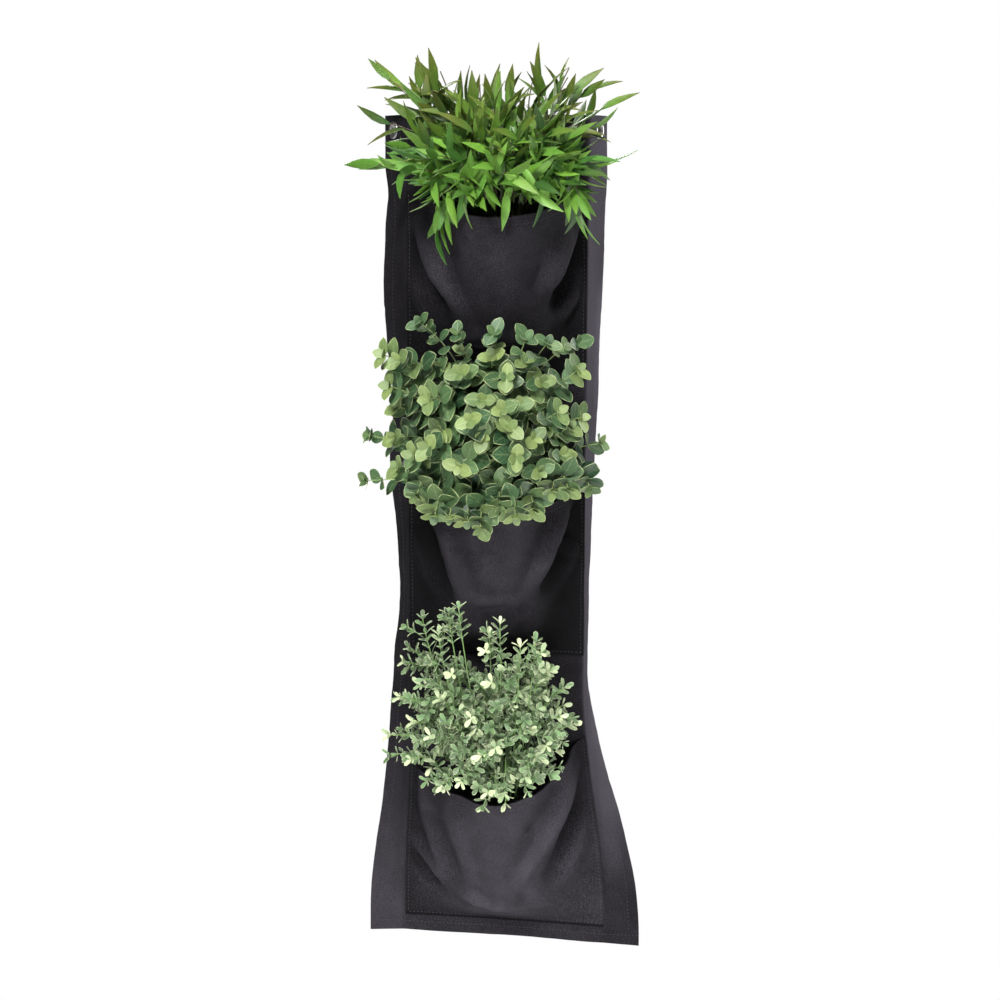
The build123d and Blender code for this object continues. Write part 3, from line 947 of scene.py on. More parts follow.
@dataclass
class Panel:
    """The back panel with its turned margins and hems, in millimetres and degrees."""

    hang: Hang
    material: bpy.types.Material
    rows: int = 261
    margin_columns: int = 16
    belly_columns: int = 64
    margin_bend: float = 24.0
    top_hem: float = 30.0
    edge_hem: float = 14.0
    hole: float = 6.2
    hole_depth: float = 14.0
    calm_around: float = 34.0
    calm_share: float = 0.85
    swell: float = 0.55
    swell_waves: tuple[float, float] = (40.0, 160.0)
    swell_lean: float = 0.2
    crumple: float = 0.12
    crumple_waves: tuple[float, float] = (9.0, 30.0)
    # Even painted light level of the hems.
    hem_painted_light: float = 0.2
    # Painted light at the top of the left margin, the middle and the right margin, and what the flare adds
    # to it; the right margin is painted lightest.
    painted_light_levels: tuple[tuple[float, float], ...] = ((0.20, 0.24), (0.16, 0.12), (1.2, -0.96))
    folds: tuple[Fold, ...] = (
        Fold(-98, -640, -128, -880, 9, 3.0),
        Fold(112, -690, 128, -872, 9, 3.0),
        Fold(-118, -700, -142, -850, 7, 1.6),
        Fold(-100, -180, -124, -186, 3.2, 0.9),
        Fold(-100, -222, -124, -226, 3.2, 0.9),
        Fold(-101, -455, -112, -560, 5, 1.4),
        Fold(-97, -60, -116, -140, 6, 2.0),
        Fold(100, -60, 112, -330, 5, 1.0),
        Fold(110, -20, 107, -280, 4, 0.9),
        Fold(60, -860, 120, -868, 6, 1.2),
    )
    points: Array = field(init=False)

    def __post_init__(self) -> None:
        """Shape the cloth, which the stitching also follows."""
        self.points = self.shape()

    def heights(self) -> Array:
        """Heights of the rows, in a column."""
        return np.linspace(self.hang.top, self.hang.bottom, self.rows)[:, None]

    def shape(self) -> Array:
        """Grid of the panel's middle surface.

        Returns:
            Points in millimetres.
        """
        h, z = self.hang, self.heights()
        left_x, left_y, right_x, right_y = h.seams(z)
        across = np.linspace(0, 1, self.belly_columns + 1)[None, :]
        x = left_x + (right_x - left_x) * across
        (left_out, left_back), (right_out, right_back) = (self.margin(z, turn) for turn in h.turns(z))
        columns_x = [left_x - left_out[:, ::-1], x, right_x + right_out]
        columns_y = [left_y + left_back[:, ::-1], h.belly(x, z), right_y + right_back]
        x, y = np.concatenate(columns_x, 1), np.concatenate(columns_y, 1)
        points = relax(h.tilted(x, y, np.broadcast_to(z, x.shape)), 3, 1)
        push = sum(fold.push(x, z) for fold in self.folds)
        push = push + self.swell * ripples(x, z, 3, self.swell_waves, self.swell_lean)
        push = push + self.crumple * ripples(x, z, 5, self.crumple_waves)
        calm = 1 - self.calm_share * np.exp(-((z / self.calm_around) ** 2))
        return points + normals(points) * (push * calm)[..., None]

    def painted_light(self) -> Array:
        """Painted light and shade on the panel: most light on the right margin and towards the bottom
        corners.

        Returns:
            A value for each point, 0 where it is black.
        """
        flare = self.hang.flare(self.heights())
        counts = (self.margin_columns, self.belly_columns + 1, self.margin_columns)
        strips = [
            np.broadcast_to(level + more * flare, (self.rows, count))
            for (level, more), count in zip(self.painted_light_levels, counts)
        ]
        return relax(np.concatenate(strips, 1)[..., None], 2, 1)[..., 0]

    def margin(self, z: Array, turn: Array) -> tuple[Array, Array]:
        """Run of a free margin, which turns back at the seam and less so towards its edge.

        Args:
            z: Heights, in a column.
            turn: Mean angle that the margin turns back at each.

        Returns:
            How far each column of points lies outward and backward of the seam.
        """
        h = self.hang
        started = smooth((h.top - z - h.head) / (2 * h.head))
        bend = math.radians(self.margin_bend) * started * (1 - h.flare(z))
        share = (np.arange(self.margin_columns) + 0.5)[None, :] / self.margin_columns
        angle = turn + bend * (1 - 2 * share)
        step = h.margin / self.margin_columns
        return np.cumsum(step * np.cos(angle), axis=1), np.cumsum(step * np.sin(angle), axis=1)

    def build(self) -> None:
        """Make the panel and its hems."""
        h, p = self.hang, self.points
        flat = (h.width * MM, h.height * MM)
        side_flat = (self.edge_hem * MM, (h.height - self.top_hem - self.edge_hem) * MM)
        panel = grid_object("panel_cloth", p, flat, h.cloth, self.painted_light())
        back = p - normals(p) * (h.cloth + h.seat)
        step = h.height / (self.rows - 1)
        deep, low = round(self.top_hem / step), round(self.edge_hem / step)
        side = round(self.edge_hem / h.margin * self.margin_columns)
        hems = {
            "top_hem": (back[: deep + 1], (flat[0], self.top_hem * MM)),
            "bottom_hem": (back[-low - 1 :], (flat[0], self.edge_hem * MM)),
            "left_side_hem": (back[deep + 1 : -low - 1, : side + 1], side_flat),
            "right_side_hem": (back[deep + 1 : -low - 1, -side - 1 :], side_flat),
        }
        made = {}
        for name, (points, size) in hems.items():
            painted_light = np.full(points.shape[:2], self.hem_painted_light)
            made[name] = grid_object(f"{name}_cloth", points, size, h.cloth, painted_light)
        for piece in (panel, made["top_hem"]):
            self.punch(piece)
        give(panel, self.material, "planter", ("back_panel", "panel_head", "panel_foot"))
        for name, piece in made.items():
            give(piece, self.material, "planter", (name,))

    def punch(self, piece: bpy.types.Object) -> None:
        """Cut the eyelets' holes.

        Args:
            piece: The piece of cloth.
        """
        turn = math.radians(self.hang.margin_turn)
        out = self.hang.seam_gap / 2 + self.hang.eyelet_out * math.cos(turn)
        add = bpy.ops.mesh.primitive_cylinder_add
        for side in Side:
            cutter = primitive(add, vertices=48, radius=self.hole * MM, depth=self.hole_depth * MM)
            cutter.location = (out * side.value * MM, 0.0, 0.0)
            cutter.rotation_euler = (math.pi / 2, 0.0, side.value * turn)
            hole = piece.modifiers.new("hole", "BOOLEAN")
            hole.operation, hole.object, hole.solver = "DIFFERENCE", cutter, "EXACT"
            apply_modifiers(piece)
            bpy.data.objects.remove(cutter)


@dataclass
class PocketCloth:
    """One sewn pocket with its mouth hem, in millimetres."""

    hang: Hang
    level: Level
    material: bpy.types.Material
    folds: tuple[Fold, ...]
    seed: int
    # Painted light and shade: the height over the bottom edge that the painted shade reaches, how the
    # painted light grows with the cloth's depth in front of the panel, and its strength.
    painted_shade_below: float
    painted_light_power: float
    fade: float
    mouth_tilt: float = 0.0
    rows: int = 101
    legs: tuple[int, ...] = (4, 15, 15, 52, 15, 15, 4)
    bend_low: float = 0.66
    bend_rise: float = 0.3
    valley: float = 4.0
    ridge: float = 3.5
    spare: float = 24.0
    table_rows: int = 90
    spare_rows: int = 30
    loose_above: float = 26.0
    swell: float = 1.2
    swell_waves: tuple[float, float] = (28.0, 100.0)
    swell_lean: float = 0.3
    crumple: float = 0.25
    crumple_waves: tuple[float, float] = (9.0, 26.0)
    least_depth: float = 60.0
    # Least painted light, where the cloth lies back on the panel, and the painted light and shade that
    # creases add on ridges and in valleys.
    shaded: float = 0.06
    crease_painted_light: float = 0.035
    pot_room: float = 1.0
    pot_under: float = 2.0
    pot_over: float = 3.0
    pot_behind: float = 12.0
    hem: float = 12.0
    hem_rows: int = 7
    hem_past: int = 4
    # Even painted light level of the mouth hem.
    hem_painted_light: float = 0.15
    points: Array = field(init=False)
    painted_light: Array = field(init=False)
    flat: tuple[float, float] = field(init=False)

    def __post_init__(self) -> None:
        """Shape the cloth, which the stitching also follows, and measure it."""
        self.points = self.shape()
        self.flat = tuple(float(run_of(self.points, axis).mean()) * MM for axis in (1, 0))

    def row(self, z: float) -> Array:
        """Front of the pocket at one height, from seam to seam.

        Args:
            z: The height.

        Returns:
            Places seen from above, as complex numbers.
        """
        h = self.hang
        x, y, radius = (float(v) for v in h.pot_line(self.level, z))
        centre, reach = complex(x, y), radius + h.cloth / 2
        opened = float(h.opened(self.level, z))
        rise = (z - h.seam(self.level)) / h.pocket
        fold_at = self.bend_low - self.bend_rise * min(max(rise, 0), 1)
        left_x, _, right_x, _ = (float(v) for v in h.seams(z))

        def on_panel(at: float) -> complex:
            """Place of cloth that lies on the panel."""
            return complex(at, float(h.belly(at, z)) - h.cloth - h.seat)

        def settle(p: complex) -> complex:
            """Place drawn back to the panel as far as the pocket is closed."""
            rest = on_panel(p.real)
            return rest + 1j * opened * (p.imag - rest.imag)

        ends = []
        for side in (side.value for side in Side):
            edge = left_x + h.inset if side < 0 else right_x - h.inset
            foot = on_panel(edge - side * h.flange)
            to_pot = centre - foot
            run = math.sqrt(abs(to_pot) ** 2 - reach**2)
            way = to_pot / abs(to_pot) * np.exp(1j * side * math.asin(reach / abs(to_pot)))
            touch = foot + run * way
            inward = way * (-1j * side)
            bend = foot + fold_at * (touch - foot)
            valley = foot + fold_at / 2 * (touch - foot) + self.valley * inward
            ridge = bend + (touch - bend) / 2 - self.ridge * inward
            ends.append([on_panel(edge), foot] + [settle(q) for q in (valley, bend, ridge, touch)])
        a, b = ends
        front = settle(centre - 1j * reach)
        runs = [
            (a[0], (a[0] + a[1]) / 2, a[1]),
            (a[1], a[2], a[3]),
            (a[3], a[4], a[5]),
            (a[5], front, b[5]),
            (b[5], b[4], b[3]),
            (b[3], b[2], b[1]),
            (b[1], (b[1] + b[0]) / 2, b[0]),
        ]
        parts = [arc(*run, count + 1) for run, count in zip(runs, self.legs)]
        return np.concatenate([part[:-1] for part in parts] + [parts[-1][-1:]])

    def shape(self) -> Array:
        """Grid of the pocket's middle surface.

        Returns:
            Points in millimetres.
        """
        h, seam = self.hang, self.hang.seam(self.level)
        low, high = seam - h.flange, seam + h.pocket + self.spare
        levels = np.linspace(low, high, self.table_rows)
        table = np.array([self.row(float(z)) for z in levels])
        left_x, _, right_x, _ = (float(v) for v in h.seams(seam + h.pocket))
        middle, half = (left_x + right_x) / 2, (right_x - left_x) / 2
        x = table[-self.spare_rows].real
        for _ in range(4):
            off = np.clip((x - middle) / half, -1, 1)
            top = seam + h.pocket - h.mouth_sag * (1 - off**2) + self.mouth_tilt * off
            x = at_heights(top, levels, table.real)
        share = np.linspace(1, 0, self.rows)[:, None]
        z = low + share * (top - low)[None, :]
        x, y = at_heights(z, levels, table.real), at_heights(z, levels, table.imag)
        points = relax(relax(h.tilted(x, y, z), 6, 1), 4, 0)
        sewn = np.abs(np.linspace(-1, 1, table.shape[1])) ** 8
        loose = smooth((z - seam) / self.loose_above) * np.clip(1 - sewn, 0, 1)[None, :]
        push = sum(fold.push(x - middle, z - seam) for fold in self.folds)
        push = push + self.swell * ripples(x, z, self.seed, self.swell_waves, self.swell_lean)
        push = push + self.crumple * ripples(x, z, self.seed + 9, self.crumple_waves)
        depth = h.seam_y - points[..., 1]
        out = np.clip(depth / np.maximum(depth.max(axis=1, keepdims=True), self.least_depth), 0, 1)
        # Painted light and shade: darker towards the bottom seam and where the cloth lies back on the panel,
        # lighter where it stands out, lighter on crease ridges and darker in their valleys.
        lit = smooth((z - low) / self.painted_shade_below) * (self.shaded + (1 - self.shaded) * out**self.painted_light_power)
        self.painted_light = np.clip(self.fade * (lit + self.crease_painted_light * push * loose), 0, 1)
        return self.clear(points + normals(points) * (push * loose)[..., None])

    def clear(self, points: Array) -> Array:
        """Keep the cloth outside the pot and in front of the panel.

        Args:
            points: Grid of points.

        Returns:
            The grid, pushed out where it came too near.
        """
        h = self.hang
        foot, a = h.pot_foot(self.level), h.axis
        along = (points - foot) @ a
        off = points - foot - along[..., None] * a
        radius = np.linalg.norm(off, axis=-1)
        pot = h.pot_base + (h.pot_rim - h.pot_base) * np.clip(along / h.pot_shoulder, 0, 1)
        need = pot + h.cloth / 2 + self.pot_room
        beside = (along > -self.pot_under) & (along < h.pot_height + self.pot_over)
        beside &= points[..., 1] < foot[1] + self.pot_behind
        pushed = foot + along[..., None] * a + unit(off) * need[..., None]
        points = np.where((beside & (radius < need))[..., None], pushed, points)
        back = h.belly(points[..., 0], points[..., 2]) - h.cloth - 4 * h.seat
        points[..., 1] = np.minimum(points[..., 1], back)
        return points

    def build(self) -> None:
        """Make the pocket and its mouth hem."""
        h, word = self.hang, self.level.word
        pocket = grid_object(f"{word}_pocket_cloth", self.points, self.flat, h.cloth, self.painted_light)
        inside = self.points - normals(self.points) * (h.cloth + h.seat)
        edge = sum(self.legs[:2]) - self.hem_past
        band = inside[: self.hem_rows, edge:-edge]
        flat = (float(run_of(band, 1)[self.hem_rows // 2]) * MM, self.hem * MM)
        painted_light = np.full(band.shape[:2], self.hem_painted_light)
        hem = grid_object(f"{word}_mouth_hem_cloth", band, flat, h.cloth, painted_light)
        give(pocket, self.material, "planter", (f"{word}_pocket",))
        give(hem, self.material, "planter", (f"{word}_mouth_hem",))
        pot = f"{Species(self.level.value).word}_pot"


@dataclass
class Copies:
    """One small shape that is modelled once and copied to many places."""

    verts: Array
    faces: list[tuple[int, ...]]
    uv: Array

    @classmethod
    def of(cls, obj: bpy.types.Object) -> "Copies":
        """Take over a modelled shape and remove its object.

        Args:
            obj: The shape.

        Returns:
            The shape's data.
        """
        mesh = obj.data
        faces = [tuple(face.vertices) for face in mesh.polygons]
        made = cls(read(mesh.vertices, "co", 3), faces, read(mesh.uv_layers.active.data, "uv", 2))
        bpy.data.objects.remove(obj)
        return made


@dataclass
class Heap:
    """Mesh that copies and tubes are gathered in."""

    verts: list[Array] = field(default_factory=list)
    faces: list[tuple[int, ...]] = field(default_factory=list)
    uvs: list[Array] = field(default_factory=list)
    colours: list[Array] = field(default_factory=list)
    slots: list[int] = field(default_factory=list)
    count: int = 0

    def add(
        self, shape: Copies, foot: Array, axes: Array, colour: Point = (0, 0, 0), slot: int = 0
    ) -> None:
        """Copy a shape to a place.

        Args:
            shape: What to copy.
            foot: Where its origin goes, in millimetres.
            axes: Where its X, Y and Z go, as rows, scale included.
            colour: Values for the leaf attribute.
            slot: Material slot.
        """
        self.verts.append(foot + shape.verts @ axes)
        self.faces.extend(tuple(v + self.count for v in face) for face in shape.faces)
        self.uvs.append(shape.uv)
        self.colours.append(np.tile((*colour, 1.0), (len(shape.verts), 1)))
        self.slots.extend([slot] * len(shape.faces))
        self.count += len(shape.verts)

    def tube(self, line: Array, radii: Array, sides: int, slot: int) -> None:
        """Add a round stem along a line.

        Args:
            line: Points in millimetres.
            radii: Radius at each point.
            sides: Faces around.
            slot: Material slot.
        """
        ways = unit(np.gradient(line, axis=0))
        one = unit(np.cross(ways, TUBE_REFERENCE))
        two = np.cross(ways, one)
        turn = np.linspace(0, 2 * np.pi, sides, endpoint=False)
        ring = np.cos(turn)[None, :, None] * one[:, None] + np.sin(turn)[None, :, None] * two[:, None]
        verts = (line[:, None] + radii[:, None, None] * ring).reshape(-1, 3)
        count = len(line)
        faces, uv = [], []
        for k in range(count - 1):
            for s in range(sides):
                n = (s + 1) % sides
                faces.append((k * sides + s, k * sides + n, (k + 1) * sides + n, (k + 1) * sides + s))
                low, high = k / (count - 1), (k + 1) / (count - 1)
                uv += [(low, s / sides), (low, (s + 1) / sides), (high, (s + 1) / sides), (high, s / sides)]
        faces += [tuple(reversed(range(sides))), tuple((count - 1) * sides + s for s in range(sides))]
        uv += [(0.0, 0.5)] * sides + [(1.0, 0.5)] * sides
        self.add(Copies(verts, faces, np.array(uv)), np.zeros(3), np.eye(3), slot=slot)

    def build(self, name: str, materials: Iterable[bpy.types.Material]) -> bpy.types.Object:
        """Make one object of everything.

        Args:
            name: Name of the piece.
            materials: Its materials, by slot.

        Returns:
            The piece.
        """
        mesh = bpy.data.meshes.new(name)
        mesh.from_pydata(np.concatenate(self.verts) * MM, [], self.faces)
        mesh.uv_layers.new(name=UV_MAP).data.foreach_set("uv", np.concatenate(self.uvs).ravel())
        leaf = mesh.attributes.new("leaf", "FLOAT_COLOR", "POINT")
        leaf.data.foreach_set("color", np.concatenate(self.colours).ravel())
        mesh.polygons.foreach_set("material_index", self.slots)
        for material in materials:
            mesh.materials.append(material)
        obj = bpy.data.objects.new(name, mesh)
        bpy.context.scene.collection.objects.link(obj)
        select_only(obj)
        bpy.ops.object.shade_smooth_by_angle(angle=math.radians(COPY_EDGE))
        return obj


@dataclass
class Stitching:
    """Rows of stitches along the seams and hems, in millimetres."""

    material: bpy.types.Material
    pitch: float = 4.2
    length: float = 3.1
    thread: float = 0.30
    taper: float = 0.35
    height: float = 0.58
    dip: float = 0.34
    lines: list[tuple[Array, Array]] = field(default_factory=list)

    def run(self, points: Array, out: Array) -> None:
        """Sew along points on a cloth's middle surface, with its outward direction at each."""
        self.lines.append((points, out))

    def stitch(self) -> Copies:
        """Model one stitch: a short thread that dips into the cloth at both ends.

        Returns:
            The shape.
        """
        add = bpy.ops.mesh.primitive_cylinder_add
        obj = primitive(add, vertices=5, radius=1.0, depth=2.0, rotation=(0, math.pi / 2, 0))
        bpy.ops.object.transform_apply(location=False, rotation=True, scale=False)
        bpy.ops.object.mode_set(mode="EDIT")
        bpy.ops.mesh.select_all(action="SELECT")
        bpy.ops.mesh.subdivide(number_cuts=1)
        bpy.ops.object.mode_set(mode="OBJECT")
        for v in obj.data.vertices:
            x, y, z = v.co
            thin = self.thread * (1.0 - self.taper * x * x)
            v.co = (x * self.length / 2, y * thin, z * thin + self.height - self.dip * x * x)
        return Copies.of(obj)

    def build(self) -> None:
        """Copy the stitch along every line."""
        shape, heap = self.stitch(), Heap()
        for points, out in self.lines:
            run = np.concatenate([[0.0], np.cumsum(np.linalg.norm(np.diff(points, axis=0), axis=1))])
            for at in np.arange(self.pitch / 2, run[-1], self.pitch):
                near = [[np.interp(at + off, run, p) for p in points.T] for off in (-1.0, 0.0, 1.0)]
                behind, foot, ahead = np.array(near)
                up = unit(np.array([np.interp(at, run, o) for o in out.T]))
                way = unit(ahead - behind)
                side = unit(np.cross(up, way))
                heap.add(shape, foot, np.array([way, side, np.cross(way, side)]))
        give(heap.build("stitches", [self.material]), self.material, "planter")


@dataclass(frozen=True)
class LeafShape:
    """Outline and curve of one kind of leaf, in millimetres."""

    length: float
    width: float
    widest: float
    roundness: float
    cells: tuple[int, int]
    cup: float
    droop: float
    thick: float = 0.45
    least: float = 0.3

    def model(self, bend: float) -> Copies:
        """Model the leaf from its foot along X, facing Z.

        Args:
            bend: Extra droop of this variant.

        Returns:
            The shape.
        """
        long, wide = self.cells
        obj = primitive(bpy.ops.mesh.primitive_grid_add, x_subdivisions=long, y_subdivisions=wide, size=2)
        skew = math.log(0.5) / math.log(self.widest)
        for v in obj.data.vertices:
            t, s = (1 - math.cos(math.pi * (v.co.x + 1) / 2)) / 2, v.co.y
            swell = math.sin(math.pi * min(max(t, 0), 1) ** skew) ** self.roundness
            half = max(self.width / 2 * swell, self.least)
            y = s * half
            z = self.cup * abs(s) * half - (self.droop + bend) * self.length * t * t
            v.co = (self.length * t, y, z)
        thicken(obj, self.thick)
        return Copies.of(obj)


@dataclass
class Leaf:
    """One leaf in place."""

    foot: Array
    way: Array
    up: Array
    size: float
    colour: Point

    @property
    def axes(self) -> Array:
        """Directions along, across and out of the leaf, as rows."""
        side = unit(np.cross(self.up, self.way))
        return np.array([self.way, side, np.cross(self.way, side)])


@dataclass
class Sprig:
    """One stem with its side twigs and leaves."""

    lines: list[tuple[Array, float, float]]
    leaves: list[Leaf]


def curve(a: Array, knee: Array, b: Array, count: int) -> Array:
    """So many points from a to b on a curve drawn towards a knee."""
    t = np.linspace(0, 1, count)[:, None]
    return (1 - t) ** 2 * a + 2 * t * (1 - t) * knee + t**2 * b


def along(line: Array, share: float) -> tuple[Array, Array]:
    """Place on a line and the line's direction there.

    Args:
        line: Points.
        share: How far along the points, from 0 to 1.

    Returns:
        The place and the direction.
    """
    spot = min(share, 0.999) * (len(line) - 1)
    low = int(spot)
    after = line[min(low + 1, len(line) - 1)]
    return line[low] + (spot - low) * (after - line[low]), unit(after - line[max(low - 1, 0)])


@dataclass
class PlantModel:
    """One artificial plant: foliage over its pot and fill, in millimetres and degrees."""

    hang: Hang
    species: Species
    crown: Point
    radii: Point
    stems: int
    leaf: LeafShape
    leaf_finish: LeafFinish
    stem_finish: StemFinish
    seed: int
    tips: tuple[Point, ...]
    row: int
    row_middle: Point
    row_end: Point
    row_stray: Point = (4.0, 5.0, 13.0)
    stem_points: int = 14
    root_reach: float = 24.0
    least_rise: float = 60.0
    hang_over: float = 30.0
    panel_room: float = 3.0
    pocket_room: float = 4.5
    mouth_room: float = 6.0
    fold_room: float = 3.5
    edge_room: float = 4.0
    back_room: float = 8.0
    rim_room: float = 5.0
    shoulder_share: float = 0.72
    own_lifts: int = 6
    passing_lifts: int = 17
    cell: float = 9.0
    crown_span: float = 1.5
    outer: tuple[float, float] = (0.86, 1.02)
    inner: tuple[float, float] = (0.55, 0.75)
    bends: tuple[float, ...] = (-0.05, 0.02, 0.1)
    rooted: int = 2
    stem_sides: int = 5
    tried_along: tuple[float, ...] = (0.15, 0.35, 0.55, 0.75, 1.0)
    tried_across: tuple[float, ...] = (-0.45, 0.0, 0.45)
    stem_radii: tuple[float, float] = (0.9, 0.45)
    dice: np.random.Generator = field(init=False)

    def __post_init__(self) -> None:
        """Start the plant's own row of draws."""
        self.dice = np.random.default_rng(self.seed)

    @property
    def level(self) -> Level:
        """The pocket that the plant stands in."""
        return Level(self.species.value)

    def soil(self) -> Array:
        """Middle of the fill's top."""
        return self.hang.pot_foot(self.level) + self.hang.fill_top * self.hang.axis

    def draw(self, mean: float, spread: float) -> float:
        """Value from 0 to 1, drawn around a mean."""
        return float(np.clip(self.dice.normal(mean, spread), 0, 1))

    def tip_places(self) -> Iterator[Array]:
        """Where the sprigs end.

        Yields:
            The listed places, a row along the pocket's mouth, then places spread over the crown.
        """
        for tip in self.tips:
            yield np.array(tip, dtype=float)
        for across in np.linspace(-1, 1, self.row):
            bow = np.array([across, across**2, across**2])
            start = np.array(self.row_middle) + bow * (np.array(self.row_end) - self.row_middle)
            yield start + self.dice.uniform(-1, 1, 3) * self.row_stray
        for k in range(self.stems):
            up = 1 - self.crown_span * (k + 0.5) / self.stems
            around = k * math.pi * (3 - math.sqrt(5)) + self.dice.uniform(-0.25, 0.25)
            flat = math.sqrt(1 - up * up)
            way = np.array([flat * math.cos(around), flat * math.sin(around), up])
            reach = self.dice.uniform(*(self.outer if k % 3 else self.inner))
            yield np.array(self.crown) + reach * np.array(self.radii) * way

    def stem(self, tip: Array) -> Array:
        """Line of a stem from the fill to a tip.

        Args:
            tip: Where it ends.

        Returns:
            Points.
        """
        centre, a = self.soil(), self.hang.axis
        off = tip - centre
        flat = off - (off @ a) * a
        near = min(1.0, self.root_reach / max(np.linalg.norm(flat), 1e-6))
        foot = centre + flat * near * self.dice.uniform(0.3, 1.0)
        rise = self.dice.uniform(0.55, 0.8) * max(np.linalg.norm(tip - foot), self.least_rise)
        mouth = self.hang.mouth(self.level)
        knee = foot + a * rise
        if tip[2] < mouth + self.hang_over:
            high = 2 * mouth + 4 * self.hang_over - 0.5 * (foot[2] + tip[2])
            knee = np.array([0.8 * tip[0] + 0.2 * foot[0], tip[1] + self.mouth_room, high])
        return curve(foot, knee, tip, self.stem_points)

    def around(self, way: Array, roll: float) -> Array:
        """Direction square to another one, at an angle around it."""
        level = unit(np.cross(way, LEAF_REFERENCE))
        return math.cos(roll) * level + math.sin(roll) * np.cross(way, level)

    def place(
        self, foot: Array, way: Array, roll: float, splay: float, size: float, colour: Point
    ) -> Leaf:
        """One leaf beside a stem.

        Args:
            foot: Where it grows.
            way: Direction of the stem.
            roll: Angle around the stem.
            splay: Angle from the stem, in degrees.
            size: Share of the full size.
            colour: Tone, age and dryness; for the bamboo and eucalyptus the age also carries painted light
                on the crown's front.

        Returns:
            The leaf.
        """
        out = self.around(way, roll)
        c, s = math.cos(math.radians(splay)), math.sin(math.radians(splay))
        return Leaf(foot, c * way + s * out, s * way - c * out, size, colour)

    def sprig(self, tip: Array) -> Sprig:
        """The sprig that ends at a tip."""
        raise NotImplementedError

    def frontness(self, p: Array) -> float:
        """How near the front of the crown a place is, from 0 at the back to 1."""
        return float(np.clip(0.5 - (p[1] - self.crown[1]) / (2 * self.radii[1]), 0, 1))

    def cells(self, points: Array) -> Array:
        """Numbers of the cells that points lie in."""
        cell = np.floor(points / self.cell).astype(np.int64) + 512
        return (cell[..., 0] << 20) | (cell[..., 1] << 10) | cell[..., 2]

    def allowed(self, groups: Array, others: Array) -> Array:
        """Which leaves or stems stay clear of cloth and of other plants while a plant is lifted.

        Args:
            groups: Points of each leaf or stem.
            others: Cells that other plants take up.

        Returns:
            True for each one that stays clear.
        """
        h = self.hang
        lifts = np.linspace(0, h.lift, self.own_lifts)[:, None, None, None] * h.way_out
        x, y, z = np.moveaxis(groups[None] + lifts, -1, 0)
        left_x, _, right_x, _ = h.seams(z)
        room = self.edge_room
        on_panel = (x > left_x - room) & (x < right_x + room) & (z < h.top + room)
        bad = (on_panel & (y > h.belly(x, z) - self.panel_room)) | (y > h.seam_y + self.back_room)
        for level in Level:
            hit = y > self.front_of(level, x, z) - self.pocket_room
            if level is self.level:
                px, py, _ = h.pot_line(level, z)
                over_pot = np.hypot(x - px, y - py) < h.pot_rim - self.rim_room
                hit &= ~(over_pot & (z > h.seam(level) + h.pot_stand))
            bad |= hit
        fine = ~bad.any(axis=(0, 2)) & (groups[..., 1] > FRONT_LIMIT).all(axis=1)
        if len(others):
            past = np.linspace(-h.lift, h.lift, self.passing_lifts)[:, None, None, None] * h.way_out
            fine &= ~np.isin(self.cells(groups[None] + past), others).any(axis=(0, 2))
        return fine

    def front_of(self, level: Level, x: Array, z: Array) -> Array:
        """Front face of a pocket where it lies, and a far value elsewhere.

        Args:
            level: Which pocket.
            x: Places across.
            z: Heights.

        Returns:
            Their y.
        """
        h = self.hang
        left_x, _, right_x, _ = h.seams(z)
        px, py, radius = h.pot_line(level, z)
        reach = radius + h.cloth
        off = np.abs(x - px)
        shoulder = reach * self.shoulder_share
        round_y = py - np.sqrt(np.maximum(reach**2 - np.minimum(off, shoulder) ** 2, 0))
        half = (right_x - left_x) / 2 - h.flange
        side_y = round_y + (h.seam_y - round_y) * np.clip((off - shoulder) / (half - shoulder), 0, 1)
        outer = np.where(off < shoulder, round_y, side_y) - self.fold_room
        seam = h.seam(level)
        y = h.seam_y + (outer - h.seam_y) * h.opened(level, z)
        mouth = seam + h.pocket - h.mouth_sag * np.clip(1 - (off / half) ** 2, 0, 1)
        inside = (z > seam - h.flange - self.panel_room) & (z < mouth + self.mouth_room)
        return np.where(inside & (off < half + h.flange), y, FAR_BACK)

    def build(self, others: set[int]) -> None:
        """Grow the plant's foliage.

        Args:
            others: Cells that other plants take up; this plant's are added.
        """
        shapes = [self.leaf.model(bend) for bend in self.bends]
        taken = np.array(sorted(others), dtype=np.int64)
        heap, mine, kept, lost = Heap(), [], 0, 0
        for tip in self.tip_places():
            sprig = self.sprig(tip)
            lines = [line for line in sprig.lines if self.allowed(line[0][None, self.rooted :], taken)[0]]
            if not lines or lines[0] is not sprig.lines[0]:
                lost += len(sprig.leaves)
                continue
            for line, thick, thin in lines:
                heap.tube(line, np.linspace(thick, thin, len(line)), self.stem_sides, STEM_SLOT)
                mine.append(line[self.rooted :])
            spots = np.array([self.spots(leaf) for leaf in sprig.leaves])
            for leaf, spot, fine in zip(sprig.leaves, spots, self.allowed(spots, taken)):
                if not fine:
                    lost += 1
                    continue
                shape = shapes[int(self.dice.integers(len(shapes)))]
                heap.add(shape, leaf.foot, leaf.axes * leaf.size, leaf.colour)
                mine.append(spot)
                kept += 1
        others.update(int(c) for c in self.cells(np.concatenate(mine)))
        word = self.species.word
        LOG.info("%s: %d leaves, %d left out, %d faces", word, kept, lost, len(heap.faces))
        materials = [self.leaf_finish.build(), self.stem_finish.build()]
        obj = heap.build(f"{word}_foliage", materials)
        give(obj, materials[0], f"{word}_plant", (f"{word}_sprigs",))

    def spots(self, leaf: Leaf) -> Array:
        """Points of a leaf that are tried for clearance.

        Args:
            leaf: The leaf.

        Returns:
            The points.
        """
        way, side, _ = leaf.axes
        far = np.array(self.tried_along)[:, None, None] * self.leaf.length * leaf.size * way
        wide = np.array(self.tried_across)[None, :, None] * self.leaf.width * leaf.size * side
        return (leaf.foot + far + wide).reshape(-1, 3)


